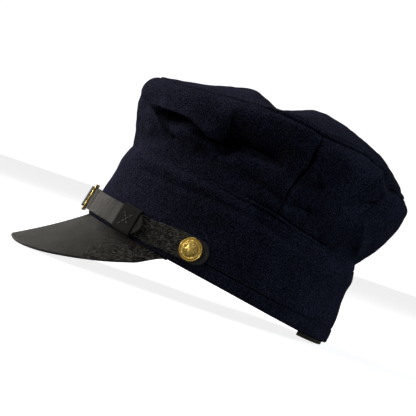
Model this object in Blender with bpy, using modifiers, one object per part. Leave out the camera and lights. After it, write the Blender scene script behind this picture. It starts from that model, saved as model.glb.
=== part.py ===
"""Soft peaked cap: wool crown and band, leather peak and chin strap, brass buckle and side buttons.

Units are metres. In the cap's own frame the rim of the head opening is level at height 0, the
front is -Y, the wearer's left is +X. The finished cap is tipped to rest on its peak and its back rim.
"""

import math

import bmesh
import bpy
from mathutils import Matrix, Vector

# Head opening and the crown above it
RIM_LENGTH = 0.205
RIM_WIDTH = 0.168
FRONT_NARROWING = 0.0034
BAND_HEIGHT = 0.060
RIM_DIP = 0.0016
CROWN_HEIGHT = 0.148
BAND_THICKNESS = 0.0028
CLOTH_THICKNESS = 0.0020
SEAM_GAP = 0.00035
SIDE_SEAM_TURN = 103.5

# Fullness and folds of the soft crown
TOP_FULLNESS = 2.3
FOLD_DEPTH = 0.0080
FOLD_WIDTH = 0.0125
FOLD_CENTRE = 0.62
FOLD_START = 0.12

# Sweatband, where it shows at the back
SWEATBAND_THICKNESS = 0.0014
SWEATBAND_HEIGHT = 0.022
SWEATBAND_DROP = 0.0032
SWEATBAND_TURN = 138.5

# Peak
PEAK_REACH = 0.0605
PEAK_TURN = 71.0
PEAK_THICKNESS = 0.0022
PEAK_HOLLOW = 0.0010
PEAK_TAPER = 10.0
PEAK_THINNING = 0.7
PEAK_SEAT = 0.35

# Chin strap
STRAP_WIDTH = 0.0168
STRAP_THICKNESS = 0.0010
STRAP_GAP = 0.00035
STRAP_HEIGHT = 0.0108
STRAP_RISE = 0.0031
BUTTON_END_WIDTH = 0.0182
STRAP_END_REACH = 0.0128
STRAP_LIFT = 0.0090
BUTTON_PLACE = 0.1232
POINT_LENGTH = 0.0062

# Keeper
KEEPER_LENGTH = 0.0170
KEEPER_PLACE = 0.0705
KEEPER_THICKNESS = 0.0010
KEEPER_MARGIN = 0.0009

# Buckle
BUCKLE_WIDTH = 0.0200
BUCKLE_HEIGHT = 0.0220
BUCKLE_THICKNESS = 0.0013
BUCKLE_BAR = 0.0022
BUCKLE_STANDOFF = 0.0048
BUCKLE_EDGE = 0.0003

# Buttons
BUTTON_WIDTH = 0.0168
BUTTON_RISE = 0.0042
BUTTON_RIM = 0.0010
DOME_REACH = 0.84
DOME_FOOT = 0.0012
STAR_REACH = 0.62
STAR_WAIST = 0.45
STAR_RELIEF = 0.0004
STAR_POINTS = 5

# Fineness of the faceted cloth
CROWN_COLUMNS = 80
SIDE_PANEL_ROWS = 14
BAND_COLUMNS = 60
BAND_BANDS = 5
SWEATBAND_COLUMNS = 20
PEAK_COLUMNS = 32
KEEPER_COLUMNS = 28
STRAP_COLUMNS = (64, 72)
SLOPE_STEP = 0.012
TINY = 1.0e-6

HALF_LENGTH = RIM_LENGTH / 2
HALF_WIDTH = RIM_WIDTH / 2

# Band from the rim to the crown seam.
# Columns: share of the band's height, front reach, back reach, side reach
# (reaches are shares of the opening's half length or half width).
BAND_ROWS = (
    (0.00, 1.000, 0.984, 1.000),
    (0.35, 0.986, 0.966, 0.993),
    (0.62, 0.968, 0.940, 0.984),
    (0.78, 0.973, 0.944, 0.990),
    (0.92, 0.958, 0.920, 0.980),
    (1.00, 0.944, 0.904, 0.968),
)

# Side panels from the band seam to the top seam.
# Columns: place, share of the rise, front reach, back reach, side reach.
SIDE_ROWS = (
    (0.00, 0.00, 0.944, 0.904, 0.968),
    (0.12, 0.13, 0.968, 0.950, 0.995),
    (0.25, 0.29, 1.015, 1.000, 1.030),
    (0.42, 0.49, 1.068, 1.038, 1.062),
    (0.58, 0.65, 1.088, 1.054, 1.085),
    (0.72, 0.78, 1.098, 1.058, 1.108),
    (0.85, 0.90, 1.056, 1.048, 1.105),
    (1.00, 1.00, 0.965, 0.985, 1.040),
)

# Height of the top seam. Columns: turn from the front in degrees, share of the crown's height.
SEAM_ROWS = (
    (0.0, 0.774),
    (30.0, 0.786),
    (60.0, 0.808),
    (75.0, 0.832),
    (90.0, 0.873),
    (105.0, 0.863),
    (125.0, 0.838),
    (145.0, 0.802),
    (180.0, 0.812),
)

# Ridge line of the top from front to back.
# Columns: place along the half length, share of the crown's height.
RIDGE_ROWS = (
    (-0.965, 0.774),
    (-0.780, 0.832),
    (-0.550, 0.892),
    (-0.350, 0.938),
    (-0.240, 0.926),
    (-0.130, 0.898),
    (-0.030, 0.944),
    (0.100, 0.988),
    (0.280, 1.000),
    (0.620, 0.962),
    (0.800, 0.912),
    (0.985, 0.812),
)

# Folds and swellings of the side. Columns: turn and height where the fold starts, turn and height
# where it ends (degrees from the front, positive on the left; shares of the crown's height),
# half width (share of FOLD_WIDTH), push outward (share of FOLD_DEPTH).
FOLD_ROWS = (
    (16, 0.650, 36, 0.618, 0.55, -0.45),
    (36, 0.618, 52, 0.628, 0.60, -0.95),
    (52, 0.628, 65, 0.580, 0.60, -0.95),
    (65, 0.575, 73, 0.548, 0.70, -0.70),
    (68, 0.655, 106, 0.655, 1.00, -0.50),
    (14, 0.715, 64, 0.710, 0.75, 0.40),
    (10, 0.640, 40, 0.540, 0.50, 0.22),
    (52, 0.440, 53, 0.570, 0.80, 0.34),
    (62, 0.420, 63, 0.500, 0.80, -0.26),
    (137, 0.420, 134, 0.580, 0.70, 0.30),
    (130, 0.420, 131, 0.500, 0.80, -0.32),
    (136, 0.800, 135, 0.900, 0.80, -0.65),
    (127, 0.740, 127, 0.930, 0.80, 0.30),
    (122, 0.615, 134, 0.700, 0.60, -0.20),
    (-28, 0.640, -62, 0.600, 0.80, -0.50),
    (-70, 0.650, -110, 0.660, 1.00, -0.40),
    (-134, 0.420, -132, 0.580, 0.80, -0.34),
)

# Peak round its arc. Columns: share of the peak's half turn, share of the reach, slope in degrees.
PEAK_ROWS = (
    (0.00, 1.000, 42.0),
    (0.21, 0.952, 45.2),
    (0.42, 0.830, 46.6),
    (0.63, 0.610, 47.0),
    (0.85, 0.270, 50.0),
    (1.00, 0.020, 50.0),
)


def eased(rows, place, level_ends=False):
    """Every column after the first, run smoothly through the rows to this place."""
    count = len(rows)
    low = 0
    while low < count - 2 and rows[low + 1][0] <= place:
        low += 1
    start, end = rows[low], rows[low + 1]
    before = rows[max(low - 1, 0)]
    after = rows[min(low + 2, count - 1)]
    step = end[0] - start[0]
    part = min(max((place - start[0]) / step, 0.0), 1.0)
    found = []
    for column in range(1, len(start)):
        rise_in = (end[column] - before[column]) / (end[0] - before[0]) * step
        rise_out = (after[column] - start[column]) / (after[0] - start[0]) * step
        if level_ends and low == 0:
            rise_in = 0.0
        if level_ends and low == count - 2:
            rise_out = 0.0
        found.append(
            start[column] * (2 * part**3 - 3 * part**2 + 1)
            + rise_in * (part**3 - 2 * part**2 + part)
            + end[column] * (3 * part**2 - 2 * part**3)
            + rise_out * (part**3 - part**2)
        )
    return found


def softened(value, low, high):
    """0 below low, 1 above high, with a smooth rise between."""
    part = min(max((value - low) / (high - low), 0.0), 1.0)
    return part * part * (3 - 2 * part)


def oval(turn, front, back, side, height):
    """A point of the egg-shaped section at this turn in degrees from the front."""
    angle = math.radians(turn)
    reach = front if math.cos(angle) > 0 else back
    across = side * math.sin(angle) * (HALF_WIDTH - FRONT_NARROWING * math.cos(angle))
    return Vector((across, -HALF_LENGTH * reach * math.cos(angle), height))


def folded(point):
    """The point moved by every fold of the crown that passes near it."""
    turn = math.degrees(math.atan2(point.x, -point.y))
    middle = CROWN_HEIGHT * FOLD_CENTRE
    away = Vector((point.x, point.y, max(point.z - middle, 0.0)))
    distance = max(away.length, TINY)
    away = away / distance
    arc = math.radians(1.0) * (HALF_LENGTH + HALF_WIDTH) / 2
    deepest = highest = 0.0
    for turn_a, high_a, turn_b, high_b, width, depth in FOLD_ROWS:
        run = Vector(((turn_b - turn_a) * arc, (high_b - high_a) * CROWN_HEIGHT))
        here = Vector(((turn - turn_a) * arc, point.z - high_a * CROWN_HEIGHT))
        along = min(max(here.dot(run) / run.length_squared, 0.0), 1.0)
        off = (here - run * along).length / (width * FOLD_WIDTH)
        push = depth * FOLD_DEPTH * math.exp(-off * off)
        deepest = min(deepest, push)
        highest = max(highest, push)
    inner = softened(distance, HALF_WIDTH * 0.70, HALF_WIDTH)
    lowest = softened(point.z, BAND_HEIGHT, BAND_HEIGHT * (1 + FOLD_START))
    return point + away * (deepest + highest) * inner * lowest


def seam_point(turn):
    """The top seam before folding."""
    front, back, side = SIDE_ROWS[-1][2:]
    height = CROWN_HEIGHT * eased(SEAM_ROWS, abs(turn), True)[0]
    return oval(turn, front, back, side, height)


def crown(across, along):
    """Outer face of the crown over a disc: top out to radius 1, side panels from 1 to 2."""
    radius = math.hypot(across, along)
    turn = math.degrees(math.atan2(across, -along))
    seam = seam_point(turn)
    if radius > 1:
        rise, front, back, side = eased(SIDE_ROWS, 2 - radius)
        height = BAND_HEIGHT + (seam.z - BAND_HEIGHT) * rise
        return folded(oval(turn, front, back, side, height))
    flat = Vector((seam.x * radius, seam.y * radius))
    front, back, side = SIDE_ROWS[-1][2:]
    reach = HALF_LENGTH * (front if flat.y < 0 else back)
    half = math.sqrt(max(1 - (flat.y / reach) ** 2, 0.0))
    beside = min(abs(across) / max(half, TINY), 1.0)
    edge_turn = math.degrees(math.acos(min(max(-flat.y / reach, -1.0), 1.0)))
    edge = CROWN_HEIGHT * eased(SEAM_ROWS, edge_turn, True)[0]
    ridge = CROWN_HEIGHT * eased(RIDGE_ROWS, flat.y / HALF_LENGTH)[0]
    height = edge + (ridge - edge) * (1 - beside**TOP_FULLNESS)
    return folded(Vector((flat.x, flat.y, height)))


def crown_inward(across, along):
    """Direction from the crown's outer face into the cloth."""
    one = crown(across + SLOPE_STEP, along) - crown(across - SLOPE_STEP, along)
    two = crown(across, along + SLOPE_STEP) - crown(across, along - SLOPE_STEP)
    return -one.cross(two).normalized()


def band(turn, share):
    """Outer face of the band, share 0 at the rim to 1 at the crown seam."""
    front, back, side = eased(BAND_ROWS, share)
    past = abs((turn + 180) % 360 - 180)
    dip = RIM_DIP * softened(past, 85.0, 150.0) * (1 - share) ** 2
    return oval(turn, front, back, side, BAND_HEIGHT * share - dip)


def level_inward(turn, share):
    """Level direction from the band's outer face into the band."""
    run = band(turn + 1, share) - band(turn - 1, share)
    return Vector((-run.y, run.x, 0.0)).normalized()


def inward_of(surface, first, second, step_first, step_second):
    """Unit normal on the inner side of a surface of two shares."""
    one = surface(first + step_first, second) - surface(first - step_first, second)
    two = surface(first, second + step_second) - surface(first, second - step_second)
    return -one.cross(two).normalized()


def material(name, colour, roughness, metallic=0.0):
    """A plain surface colour for a piece."""
    made = bpy.data.materials.new(name)
    made.use_nodes = True
    shader = made.node_tree.nodes["Principled BSDF"]
    shader.inputs["Base Color"].default_value = (*colour, 1.0)
    shader.inputs["Roughness"].default_value = roughness
    shader.inputs["Metallic"].default_value = metallic
    return made


def piece(name, mesh_maker, surface_material, smooth_angle=40.0):
    """A named object of the cap from a bmesh."""
    bmesh.ops.triangulate(mesh_maker, faces=mesh_maker.faces, quad_method="SHORT_EDGE")
    bmesh.ops.recalc_face_normals(mesh_maker, faces=mesh_maker.faces)
    if mesh_maker.calc_volume(signed=True) < 0:
        bmesh.ops.reverse_faces(mesh_maker, faces=mesh_maker.faces)
    mesh = bpy.data.meshes.new(name)
    mesh_maker.to_mesh(mesh)
    mesh_maker.free()
    mesh.materials.append(surface_material)
    mesh.shade_smooth()
    mesh.set_sharp_from_angle(angle=math.radians(smooth_angle))
    made = bpy.data.objects.new(name, mesh)
    made.parent = cap_rest
    pieces.objects.link(made)
    return made


def thick_sheet(columns, rows, outer, inward, thickness, closed=False):
    """A sheet of given thickness: a grid laid on outer(u, v), given its depth along inward(u, v)."""
    sheet = bmesh.new()
    bmesh.ops.create_grid(sheet, x_segments=columns, y_segments=rows, size=0.5)
    shares = {}
    for vert in sheet.verts:
        shares[vert] = (vert.co.x + 0.5, vert.co.y + 0.5)
    raised = bmesh.ops.extrude_face_region(sheet, geom=list(sheet.faces))["geom"]
    inner = [item for item in raised if isinstance(item, bmesh.types.BMVert)]
    for vert in inner:
        first, second = vert.co.x + 0.5, vert.co.y + 0.5
        vert.co = outer(first, second) + inward(first, second) * thickness
    for vert, (first, second) in shares.items():
        vert.co = outer(first, second)
    if closed:
        ends = [face for face in sheet.faces if end_wall(face, shares, inner)]
        bmesh.ops.delete(sheet, geom=ends, context="FACES_ONLY")
        bmesh.ops.remove_doubles(sheet, verts=sheet.verts, dist=TINY)
    return sheet


def end_wall(face, shares, inner):
    """Whether the face is one of the two side walls where a closed sheet meets itself."""
    own = [vert for vert in face.verts if vert in shares]
    if len(own) != 2 or len(face.verts) != 4:
        return False
    firsts = [shares[vert][0] for vert in own]
    return max(firsts) < TINY or min(firsts) > 1 - TINY


def arc_table():
    """Turn and distance along the band at strap height, every half degree from the front."""
    table = []
    length = 0.0
    last = None
    share = STRAP_HEIGHT / BAND_HEIGHT
    for step in range(0, 361):
        turn = step * 0.5
        point = band(turn, share)
        if last is not None:
            length += (point - last).length
        table.append((turn, length))
        last = point
    return table


def turn_at(distance):
    """The turn in degrees at this distance along the band from the front, positive to the left."""
    wanted = abs(distance)
    low, high = 0, len(ARC) - 1
    while high - low > 1:
        middle = (low + high) // 2
        if ARC[middle][1] > wanted:
            high = middle
        else:
            low = middle
    part = (wanted - ARC[low][1]) / (ARC[high][1] - ARC[low][1])
    turn = ARC[low][0] + part * (ARC[high][0] - ARC[low][0])
    return math.copysign(turn, distance)


def beside_band(distance, off, height):
    """A point at this distance along the band, this far off its face, this high."""
    turn = turn_at(distance)
    share = height / BAND_HEIGHT
    return band(turn, share) - level_inward(turn, share) * off


def strap_middle(distance):
    """Height of the strap's middle line, which climbs to the button at each side."""
    climb = softened(abs(distance), KEEPER_PLACE + KEEPER_LENGTH / 2, BUTTON_PLACE)
    return STRAP_HEIGHT + STRAP_RISE * climb


def mixed(low, high, share):
    """The value this share of the way from low to high."""
    return low + (high - low) * share


def paced(rows, share):
    """The value at this share, run straight between the rows."""
    low = 0
    while low < len(rows) - 2 and rows[low + 1][0] <= share:
        low += 1
    start, end = rows[low], rows[low + 1]
    return mixed(start[1], end[1], (share - start[0]) / (end[0] - start[0]))


def strap(path, half_width, pace, columns):
    """A strap on its edge: path(length) gives distance and offset of the middle of its thickness."""
    full = pace[-1][1]

    def place(share, side, depth):
        length = paced(pace, share)
        near = STRAP_THICKNESS / 4
        run = path(min(length + near, full)) - path(max(length - near, 0.0))
        away = Vector((-run.y, run.x)).normalized()
        spot = path(length) + away * depth
        height = strap_middle(spot.x) + half_width(length) * (side * 2 - 1)
        return beside_band(spot.x, spot.y, height)

    def outer(share, side):
        return place(share, side, STRAP_THICKNESS / 2)

    def inward(share, side):
        return (place(share, side, -STRAP_THICKNESS / 2) - outer(share, side)).normalized()

    return thick_sheet(columns, 1, outer, inward, STRAP_THICKNESS)


def rounded_path(points):
    """A smooth curve through distance and offset points, and the length at each point."""
    rows = []
    length = 0.0
    for index, point in enumerate(points):
        if index:
            length += math.dist(point, points[index - 1])
        rows.append((length, *point))

    def path(at):
        return Vector(eased(rows, at))

    return path, [row[0] for row in rows]


def turned(name, profile, segments, surface_material):
    """A round piece: the profile (radius, height) turned about its axis, closed at both ends."""
    round_piece = bmesh.new()
    verts = [round_piece.verts.new((radius, 0.0, height)) for radius, height in profile]
    edges = [round_piece.edges.new(pair) for pair in zip(verts, verts[1:])]
    bmesh.ops.spin(
        round_piece,
        geom=verts + edges,
        cent=(0, 0, 0),
        axis=(0, 0, 1),
        angle=2 * math.pi,
        steps=segments,
        use_merge=True,
    )
    bmesh.ops.remove_doubles(round_piece, verts=round_piece.verts, dist=TINY)
    return piece(name, round_piece, surface_material, 30.0)


# Clear the startup scene
for old in list(bpy.data.objects):
    bpy.data.objects.remove(old, do_unlink=True)

pieces = bpy.data.collections.new("peaked_cap")
bpy.context.scene.collection.children.link(pieces)
cutters = bpy.data.collections.new("cutters")
cutters.hide_render = True
bpy.context.scene.collection.children.link(cutters)
cap_rest = bpy.data.objects.new("cap_rest", None)
pieces.objects.link(cap_rest)

navy_wool = material("navy_wool", (0.012, 0.013, 0.030), 0.92)
band_wool = material("band_wool", (0.012, 0.014, 0.032), 0.92)
sweat_leather = material("sweat_leather", (0.010, 0.010, 0.012), 0.70)
peak_leather = material("peak_leather", (0.022, 0.021, 0.020), 0.38)
strap_leather = material("strap_leather", (0.020, 0.019, 0.018), 0.42)
brass = material("brass", (0.72, 0.50, 0.16), 0.28, 1.0)

ARC = arc_table()

# Crown: top panel
gap_share = SEAM_GAP / 2 / HALF_WIDTH


def top_place(first, second):
    """A square of shares laid on the disc in rings, its edge evenly spaced round the seam."""
    across, along = 2 * first - 1, 2 * second - 1
    if max(abs(across), abs(along)) < TINY:
        return 0.0, 0.0
    if abs(across) > abs(along):
        radius, angle = across, math.pi / 4 * along / across
    else:
        radius, angle = along, math.pi / 2 - math.pi / 4 * across / along
    radius *= 1 - gap_share
    return radius * math.cos(angle), radius * math.sin(angle)


top_sheet = thick_sheet(
    CROWN_COLUMNS // 4,
    CROWN_COLUMNS // 4,
    lambda first, second: crown(*top_place(first, second)),
    lambda first, second: crown_inward(*top_place(first, second)),
    CLOTH_THICKNESS,
)
piece("crown_top", top_sheet, navy_wool)


# Crown: front and back side panels
def side_panel(name, turn_from, turn_to):
    gap_turn = math.degrees(SEAM_GAP / 2 / HALF_LENGTH)
    rise = CROWN_HEIGHT * SEAM_ROWS[0][1] - BAND_HEIGHT
    lowest = SEAM_GAP / rise

    def spot(first, second):
        turn = turn_from + gap_turn + (turn_to - turn_from - 2 * gap_turn) * first
        radius = 2 - lowest - (1 - lowest - gap_share) * second
        angle = math.radians(turn)
        return radius * math.sin(angle), -radius * math.cos(angle)

    columns = round(CROWN_COLUMNS * (turn_to - turn_from) / 360)
    sheet = thick_sheet(
        columns,
        SIDE_PANEL_ROWS,
        lambda first, second: crown(*spot(first, second)),
        lambda first, second: crown_inward(*spot(first, second)),
        CLOTH_THICKNESS,
    )
    return piece(name, sheet, navy_wool)


side_panel("crown_front", -SIDE_SEAM_TURN, SIDE_SEAM_TURN)
side_panel("crown_back", SIDE_SEAM_TURN, 360 - SIDE_SEAM_TURN)

# Band
band_sheet = thick_sheet(
    BAND_COLUMNS,
    BAND_BANDS,
    lambda first, second: band(first * 360, second),
    lambda first, second: level_inward(first * 360, second),
    BAND_THICKNESS,
    closed=True,
)
piece("band", band_sheet, band_wool)


# Sweatband
def sweatband(first, second):
    turn = SWEATBAND_TURN + (360 - 2 * SWEATBAND_TURN) * first
    height = SWEATBAND_HEIGHT * second - SWEATBAND_DROP
    share = max(height, 0.0) / BAND_HEIGHT
    point = band(turn, share) + level_inward(turn, share) * (BAND_THICKNESS + SEAM_GAP)
    return Vector((point.x, point.y, height - RIM_DIP))


sweat_sheet = thick_sheet(
    SWEATBAND_COLUMNS,
    3,
    sweatband,
    lambda first, second: inward_of(sweatband, first, second, 0.02, 0.02),
    SWEATBAND_THICKNESS,
)
piece("sweatband", sweat_sheet, sweat_leather)


# Peak
def peak(first, second):
    """Upper face of the peak, second 0 at the rim to 1 at its edge."""
    share = 2 * first - 1
    turn = PEAK_TURN * share
    reach, slope = eased(PEAK_ROWS, abs(share), True)
    out = -level_inward(turn, 0.0)
    start = band(turn, 0.0) - out * BAND_THICKNESS * PEAK_SEAT
    angle = math.radians(slope)
    length = PEAK_REACH * reach * second
    sag = PEAK_HOLLOW * reach * 4 * second * (1 - second)
    drop = Vector((0.0, 0.0, -SEAM_GAP - length * math.sin(angle) - sag * math.cos(angle)))
    return start + out * (length * math.cos(angle) - sag * math.sin(angle)) + drop


def under_peak(first, second):
    """Direction to the underside, shortened where the peak thins to its two ends."""
    from_end = PEAK_TURN * (1 - abs(2 * first - 1))
    thinned = 1 - PEAK_THINNING * (1 - softened(from_end, 0.0, PEAK_TAPER))
    return -inward_of(peak, first, second, 0.01, 0.02) * thinned


peak_sheet = thick_sheet(PEAK_COLUMNS, 5, peak, under_peak, PEAK_THICKNESS)
piece("peak", peak_sheet, peak_leather)

# Chin strap
layer = STRAP_THICKNESS + STRAP_GAP
first_layer = STRAP_GAP + STRAP_THICKNESS / 2
keeper_layer = first_layer + KEEPER_THICKNESS + STRAP_GAP
second_layer = first_layer + layer
third_layer = second_layer + layer
wrap = STRAP_GAP + STRAP_THICKNESS / 2
corner = wrap * math.sqrt(0.5)
bar_front = BUCKLE_STANDOFF + BUCKLE_THICKNESS / 2 + wrap
bar_back = BUCKLE_STANDOFF - BUCKLE_THICKNESS / 2 - wrap
over_bar = bar_front + layer
button_end = BUTTON_PLACE + STRAP_END_REACH
keeper_front = KEEPER_PLACE - KEEPER_LENGTH / 2
keeper_back = KEEPER_PLACE + KEEPER_LENGTH / 2
half_buckle = BUCKLE_WIDTH / 2
half_bar = BUCKLE_BAR / 2

left_points = (
    (button_end, first_layer),
    (keeper_back + STRAP_LIFT, first_layer),
    (keeper_back, keeper_layer),
    (keeper_front, keeper_layer),
    (keeper_front - STRAP_LIFT, first_layer),
    (half_buckle * 2.00, first_layer),
    (half_buckle * 1.55, second_layer),
    (half_buckle * 0.80, second_layer),
    (half_buckle * 0.64, mixed(second_layer, bar_front, 0.07)),
    (half_buckle * 0.50, mixed(second_layer, bar_front, 0.32)),
    (half_buckle * 0.36, mixed(second_layer, bar_front, 0.63)),
    (half_buckle * 0.22, mixed(second_layer, bar_front, 0.90)),
    (half_buckle * 0.11, bar_front),
    (-half_bar, bar_front),
    (-half_bar - corner, BUCKLE_STANDOFF + BUCKLE_THICKNESS / 2 + corner),
    (-half_bar - wrap, BUCKLE_STANDOFF + BUCKLE_THICKNESS / 2),
    (-half_bar - wrap, BUCKLE_STANDOFF - BUCKLE_THICKNESS / 2),
    (-half_bar - corner, BUCKLE_STANDOFF - BUCKLE_THICKNESS / 2 - corner),
    (-half_bar, bar_back),
    (half_buckle * 0.10, mixed(first_layer, bar_back, 0.92)),
    (half_buckle * 0.26, mixed(first_layer, bar_back, 0.55)),
    (half_buckle * 0.42, mixed(first_layer, bar_back, 0.10)),
    (half_buckle * 0.55, first_layer),
    (half_buckle * 1.40, first_layer),
)
left_path, left_lengths = rounded_path(left_points)
left_bend = 5

right_points = (
    (-button_end, first_layer),
    (-half_buckle * 2.20, first_layer),
    (-half_buckle * 1.20, mixed(first_layer, third_layer, 0.60)),
    (-half_buckle * 0.84, mixed(first_layer, third_layer, 0.85)),
    (-half_buckle * 0.60, mixed(third_layer, over_bar, 0.25)),
    (-half_buckle * 0.40, mixed(third_layer, over_bar, 0.62)),
    (-half_buckle * 0.24, mixed(third_layer, over_bar, 0.90)),
    (-half_buckle * 0.10, over_bar),
    (half_buckle * 0.13, over_bar),
    (half_buckle * 0.29, mixed(third_layer, over_bar, 0.86)),
    (half_buckle * 0.46, mixed(third_layer, over_bar, 0.56)),
    (half_buckle * 0.60, mixed(third_layer, over_bar, 0.24)),
    (half_buckle * 0.73, mixed(third_layer, over_bar, 0.05)),
    (half_buckle * 0.88, third_layer),
    (half_buckle * 1.55, third_layer),
    (half_buckle * 2.00, second_layer),
    (keeper_front - STRAP_LIFT, second_layer),
    (keeper_front, keeper_layer + layer),
    (keeper_back + POINT_LENGTH, keeper_layer + layer),
)
right_path, right_lengths = rounded_path(right_points)
right_bend = 1
right_bend_end = 15


def button_end_half(distance_from_end):
    """Half width of a strap near its rounded end under the button."""
    wide = BUTTON_END_WIDTH / 2
    near = wide - distance_from_end
    if near > 0:
        return max(math.sqrt(max(wide * wide - near * near, 0.0)), wide * 0.2)
    back = softened(distance_from_end, BUTTON_END_WIDTH * 1.4, BUTTON_END_WIDTH * 2.8)
    return wide + (STRAP_WIDTH / 2 - wide) * back


def right_half(length):
    point = right_lengths[-1] - length
    if point < POINT_LENGTH:
        return STRAP_WIDTH / 2 * max(point / POINT_LENGTH, 0.12)
    return button_end_half(length)


round_end = BUTTON_END_WIDTH / 2
left_pace = (
    (0.00, 0.0),
    (0.14, round_end),
    (0.44, left_lengths[left_bend]),
    (1.00, left_lengths[-1]),
)
right_pace = (
    (0.00, 0.0),
    (0.12, round_end),
    (0.34, right_lengths[right_bend]),
    (0.74, right_lengths[right_bend_end]),
    (0.91, right_lengths[-1] - POINT_LENGTH),
    (1.00, right_lengths[-1]),
)
left_columns, right_columns = STRAP_COLUMNS
piece("strap_left", strap(left_path, button_end_half, left_pace, left_columns), strap_leather)
piece("strap_right", strap(right_path, right_half, right_pace, right_columns), strap_leather)

# Keeper: a loop round both straps
loop_low = STRAP_GAP
loop_high = keeper_layer + layer + STRAP_THICKNESS / 2 + STRAP_GAP + KEEPER_THICKNESS
loop_half = STRAP_WIDTH / 2 + KEEPER_MARGIN + KEEPER_THICKNESS
loop_corner = (loop_high - loop_low) / 2


def keeper(first, second):
    straight = 2 * (loop_half - loop_corner)
    bend = math.pi * loop_corner
    run = (first % 1.0) * (2 * straight + 2 * bend)
    distance = KEEPER_PLACE + KEEPER_LENGTH * (second - 0.5)
    middle = strap_middle(distance)
    if run < straight:
        height, off = -straight / 2 + run, loop_high
    elif run < straight + bend:
        angle = (run - straight) / loop_corner
        height = straight / 2 + loop_corner * math.sin(angle)
        off = loop_low + loop_corner + loop_corner * math.cos(angle)
    elif run < 2 * straight + bend:
        height, off = straight / 2 - (run - straight - bend), loop_low
    else:
        angle = (run - 2 * straight - bend) / loop_corner
        height = -straight / 2 - loop_corner * math.sin(angle)
        off = loop_low + loop_corner - loop_corner * math.cos(angle)
    return beside_band(distance, off, middle + height)


keeper_sheet = thick_sheet(
    KEEPER_COLUMNS,
    3,
    keeper,
    lambda first, second: -inward_of(keeper, first, second, 0.004, 0.02),
    KEEPER_THICKNESS,
    closed=True,
)
piece("keeper", keeper_sheet, strap_leather)


# Buckle: flat frame with two windows and a middle bar
def block(name, size, centre, holder):
    made = bmesh.new()
    bmesh.ops.create_cube(made, size=1.0)
    bmesh.ops.scale(made, vec=size, verts=made.verts)
    bmesh.ops.translate(made, vec=centre, verts=made.verts)
    mesh = bpy.data.meshes.new(name)
    made.to_mesh(mesh)
    made.free()
    made_object = bpy.data.objects.new(name, mesh)
    made_object.parent = cap_rest
    holder.objects.link(made_object)
    return made_object


window_height = STRAP_WIDTH + 2 * STRAP_GAP
window_width = (BUCKLE_WIDTH - 3 * BUCKLE_BAR) / 2
window_place = (window_width + BUCKLE_BAR) / 2
buckle_centre = beside_band(0.0, BUCKLE_STANDOFF, STRAP_HEIGHT)
buckle = block("buckle", (BUCKLE_WIDTH, BUCKLE_THICKNESS, BUCKLE_HEIGHT), (0, 0, 0), pieces)
buckle_top = beside_band(0.0, BUCKLE_STANDOFF, STRAP_HEIGHT + STRAP_WIDTH / 2)
buckle_low = beside_band(0.0, BUCKLE_STANDOFF, STRAP_HEIGHT - STRAP_WIDTH / 2)
buckle_lean = -math.atan2(buckle_top.y - buckle_low.y, buckle_top.z - buckle_low.z)
buckle.location = buckle_centre
buckle.rotation_euler = (buckle_lean, 0.0, 0.0)
buckle.data.materials.append(brass)
for side, label in ((1, "left"), (-1, "right")):
    window = block(
        "buckle_window_" + label,
        (window_width, BUCKLE_THICKNESS * 3, window_height),
        (side * window_place, 0, 0),
        cutters,
    )
    window.location = buckle_centre
    window.rotation_euler = (buckle_lean, 0.0, 0.0)
    window.display_type = "WIRE"
    window.hide_render = True
    cut = buckle.modifiers.new("window_" + label, "BOOLEAN")
    cut.operation = "DIFFERENCE"
    cut.solver = "EXACT"
    cut.object = window
rounding = buckle.modifiers.new("rounded_edges", "BEVEL")
rounding.width = BUCKLE_EDGE
rounding.segments = 1
rounding.limit_method = "ANGLE"


# Buttons: a domed shell with a rim and a raised star
def dome(share):
    """Height of the button's dome at this share of its half width."""
    return DOME_FOOT + (BUTTON_RISE - DOME_FOOT) * (1 - (share / DOME_REACH) ** 2)


def starred(vert):
    """Draws a ring of the dome in to the outline of the star."""
    radius = math.hypot(vert.co.x, vert.co.y)
    if vert.co.z < BUTTON_RIM or radius > BUTTON_WIDTH / 2 * (STAR_REACH + 0.05):
        return
    point = math.degrees(math.atan2(vert.co.y, vert.co.x)) * STAR_POINTS / 180
    toward_waist = abs((point - 0.5) % 2 - 1)
    drawn = mixed(1.0, STAR_WAIST, toward_waist)
    flat = radius / (BUTTON_WIDTH / 2)
    vert.co.z += dome(flat * drawn) - dome(flat)
    vert.co.x *= drawn
    vert.co.y *= drawn


def button(name, side):
    half = BUTTON_WIDTH / 2
    profile = (
        (0.0, 0.0),
        (half * 0.93, 0.0),
        (half, BUTTON_RIM * 0.5),
        (half * 0.97, BUTTON_RIM),
        (half * 0.90, BUTTON_RIM * 1.05),
        (half * DOME_REACH, dome(DOME_REACH)),
        (half * (STAR_REACH + 0.04), dome(STAR_REACH + 0.04)),
        (half * STAR_REACH, dome(STAR_REACH) + STAR_RELIEF),
        (half * STAR_REACH / 2, dome(STAR_REACH / 2) + STAR_RELIEF * 1.3),
        (0.0, dome(0.0) + STAR_RELIEF * 1.6),
    )
    made = turned(name, profile, STAR_POINTS * 4, brass)
    for vert in made.data.vertices:
        starred(vert)
    base = STRAP_GAP * 2 + STRAP_THICKNESS
    spot = beside_band(side * BUTTON_PLACE, base, strap_middle(BUTTON_PLACE))
    inner = beside_band(side * BUTTON_PLACE, 0.0, strap_middle(BUTTON_PLACE))
    away = (spot - inner).normalized()
    up = Vector((0.0, 0.0, 1.0))
    across = up.cross(away).normalized()
    turn = Matrix((across, away.cross(across), away)).transposed()
    made.matrix_local = Matrix.Translation(spot) @ turn.to_4x4()
    return made


button("button_left", 1)
button("button_right", -1)

# Rest: tip the cap until the peak and the back of the sweatband share one floor
bpy.context.view_layer.update()


def own_points(name):
    return [vert.co.copy() for vert in bpy.data.objects[name].data.vertices]


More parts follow.
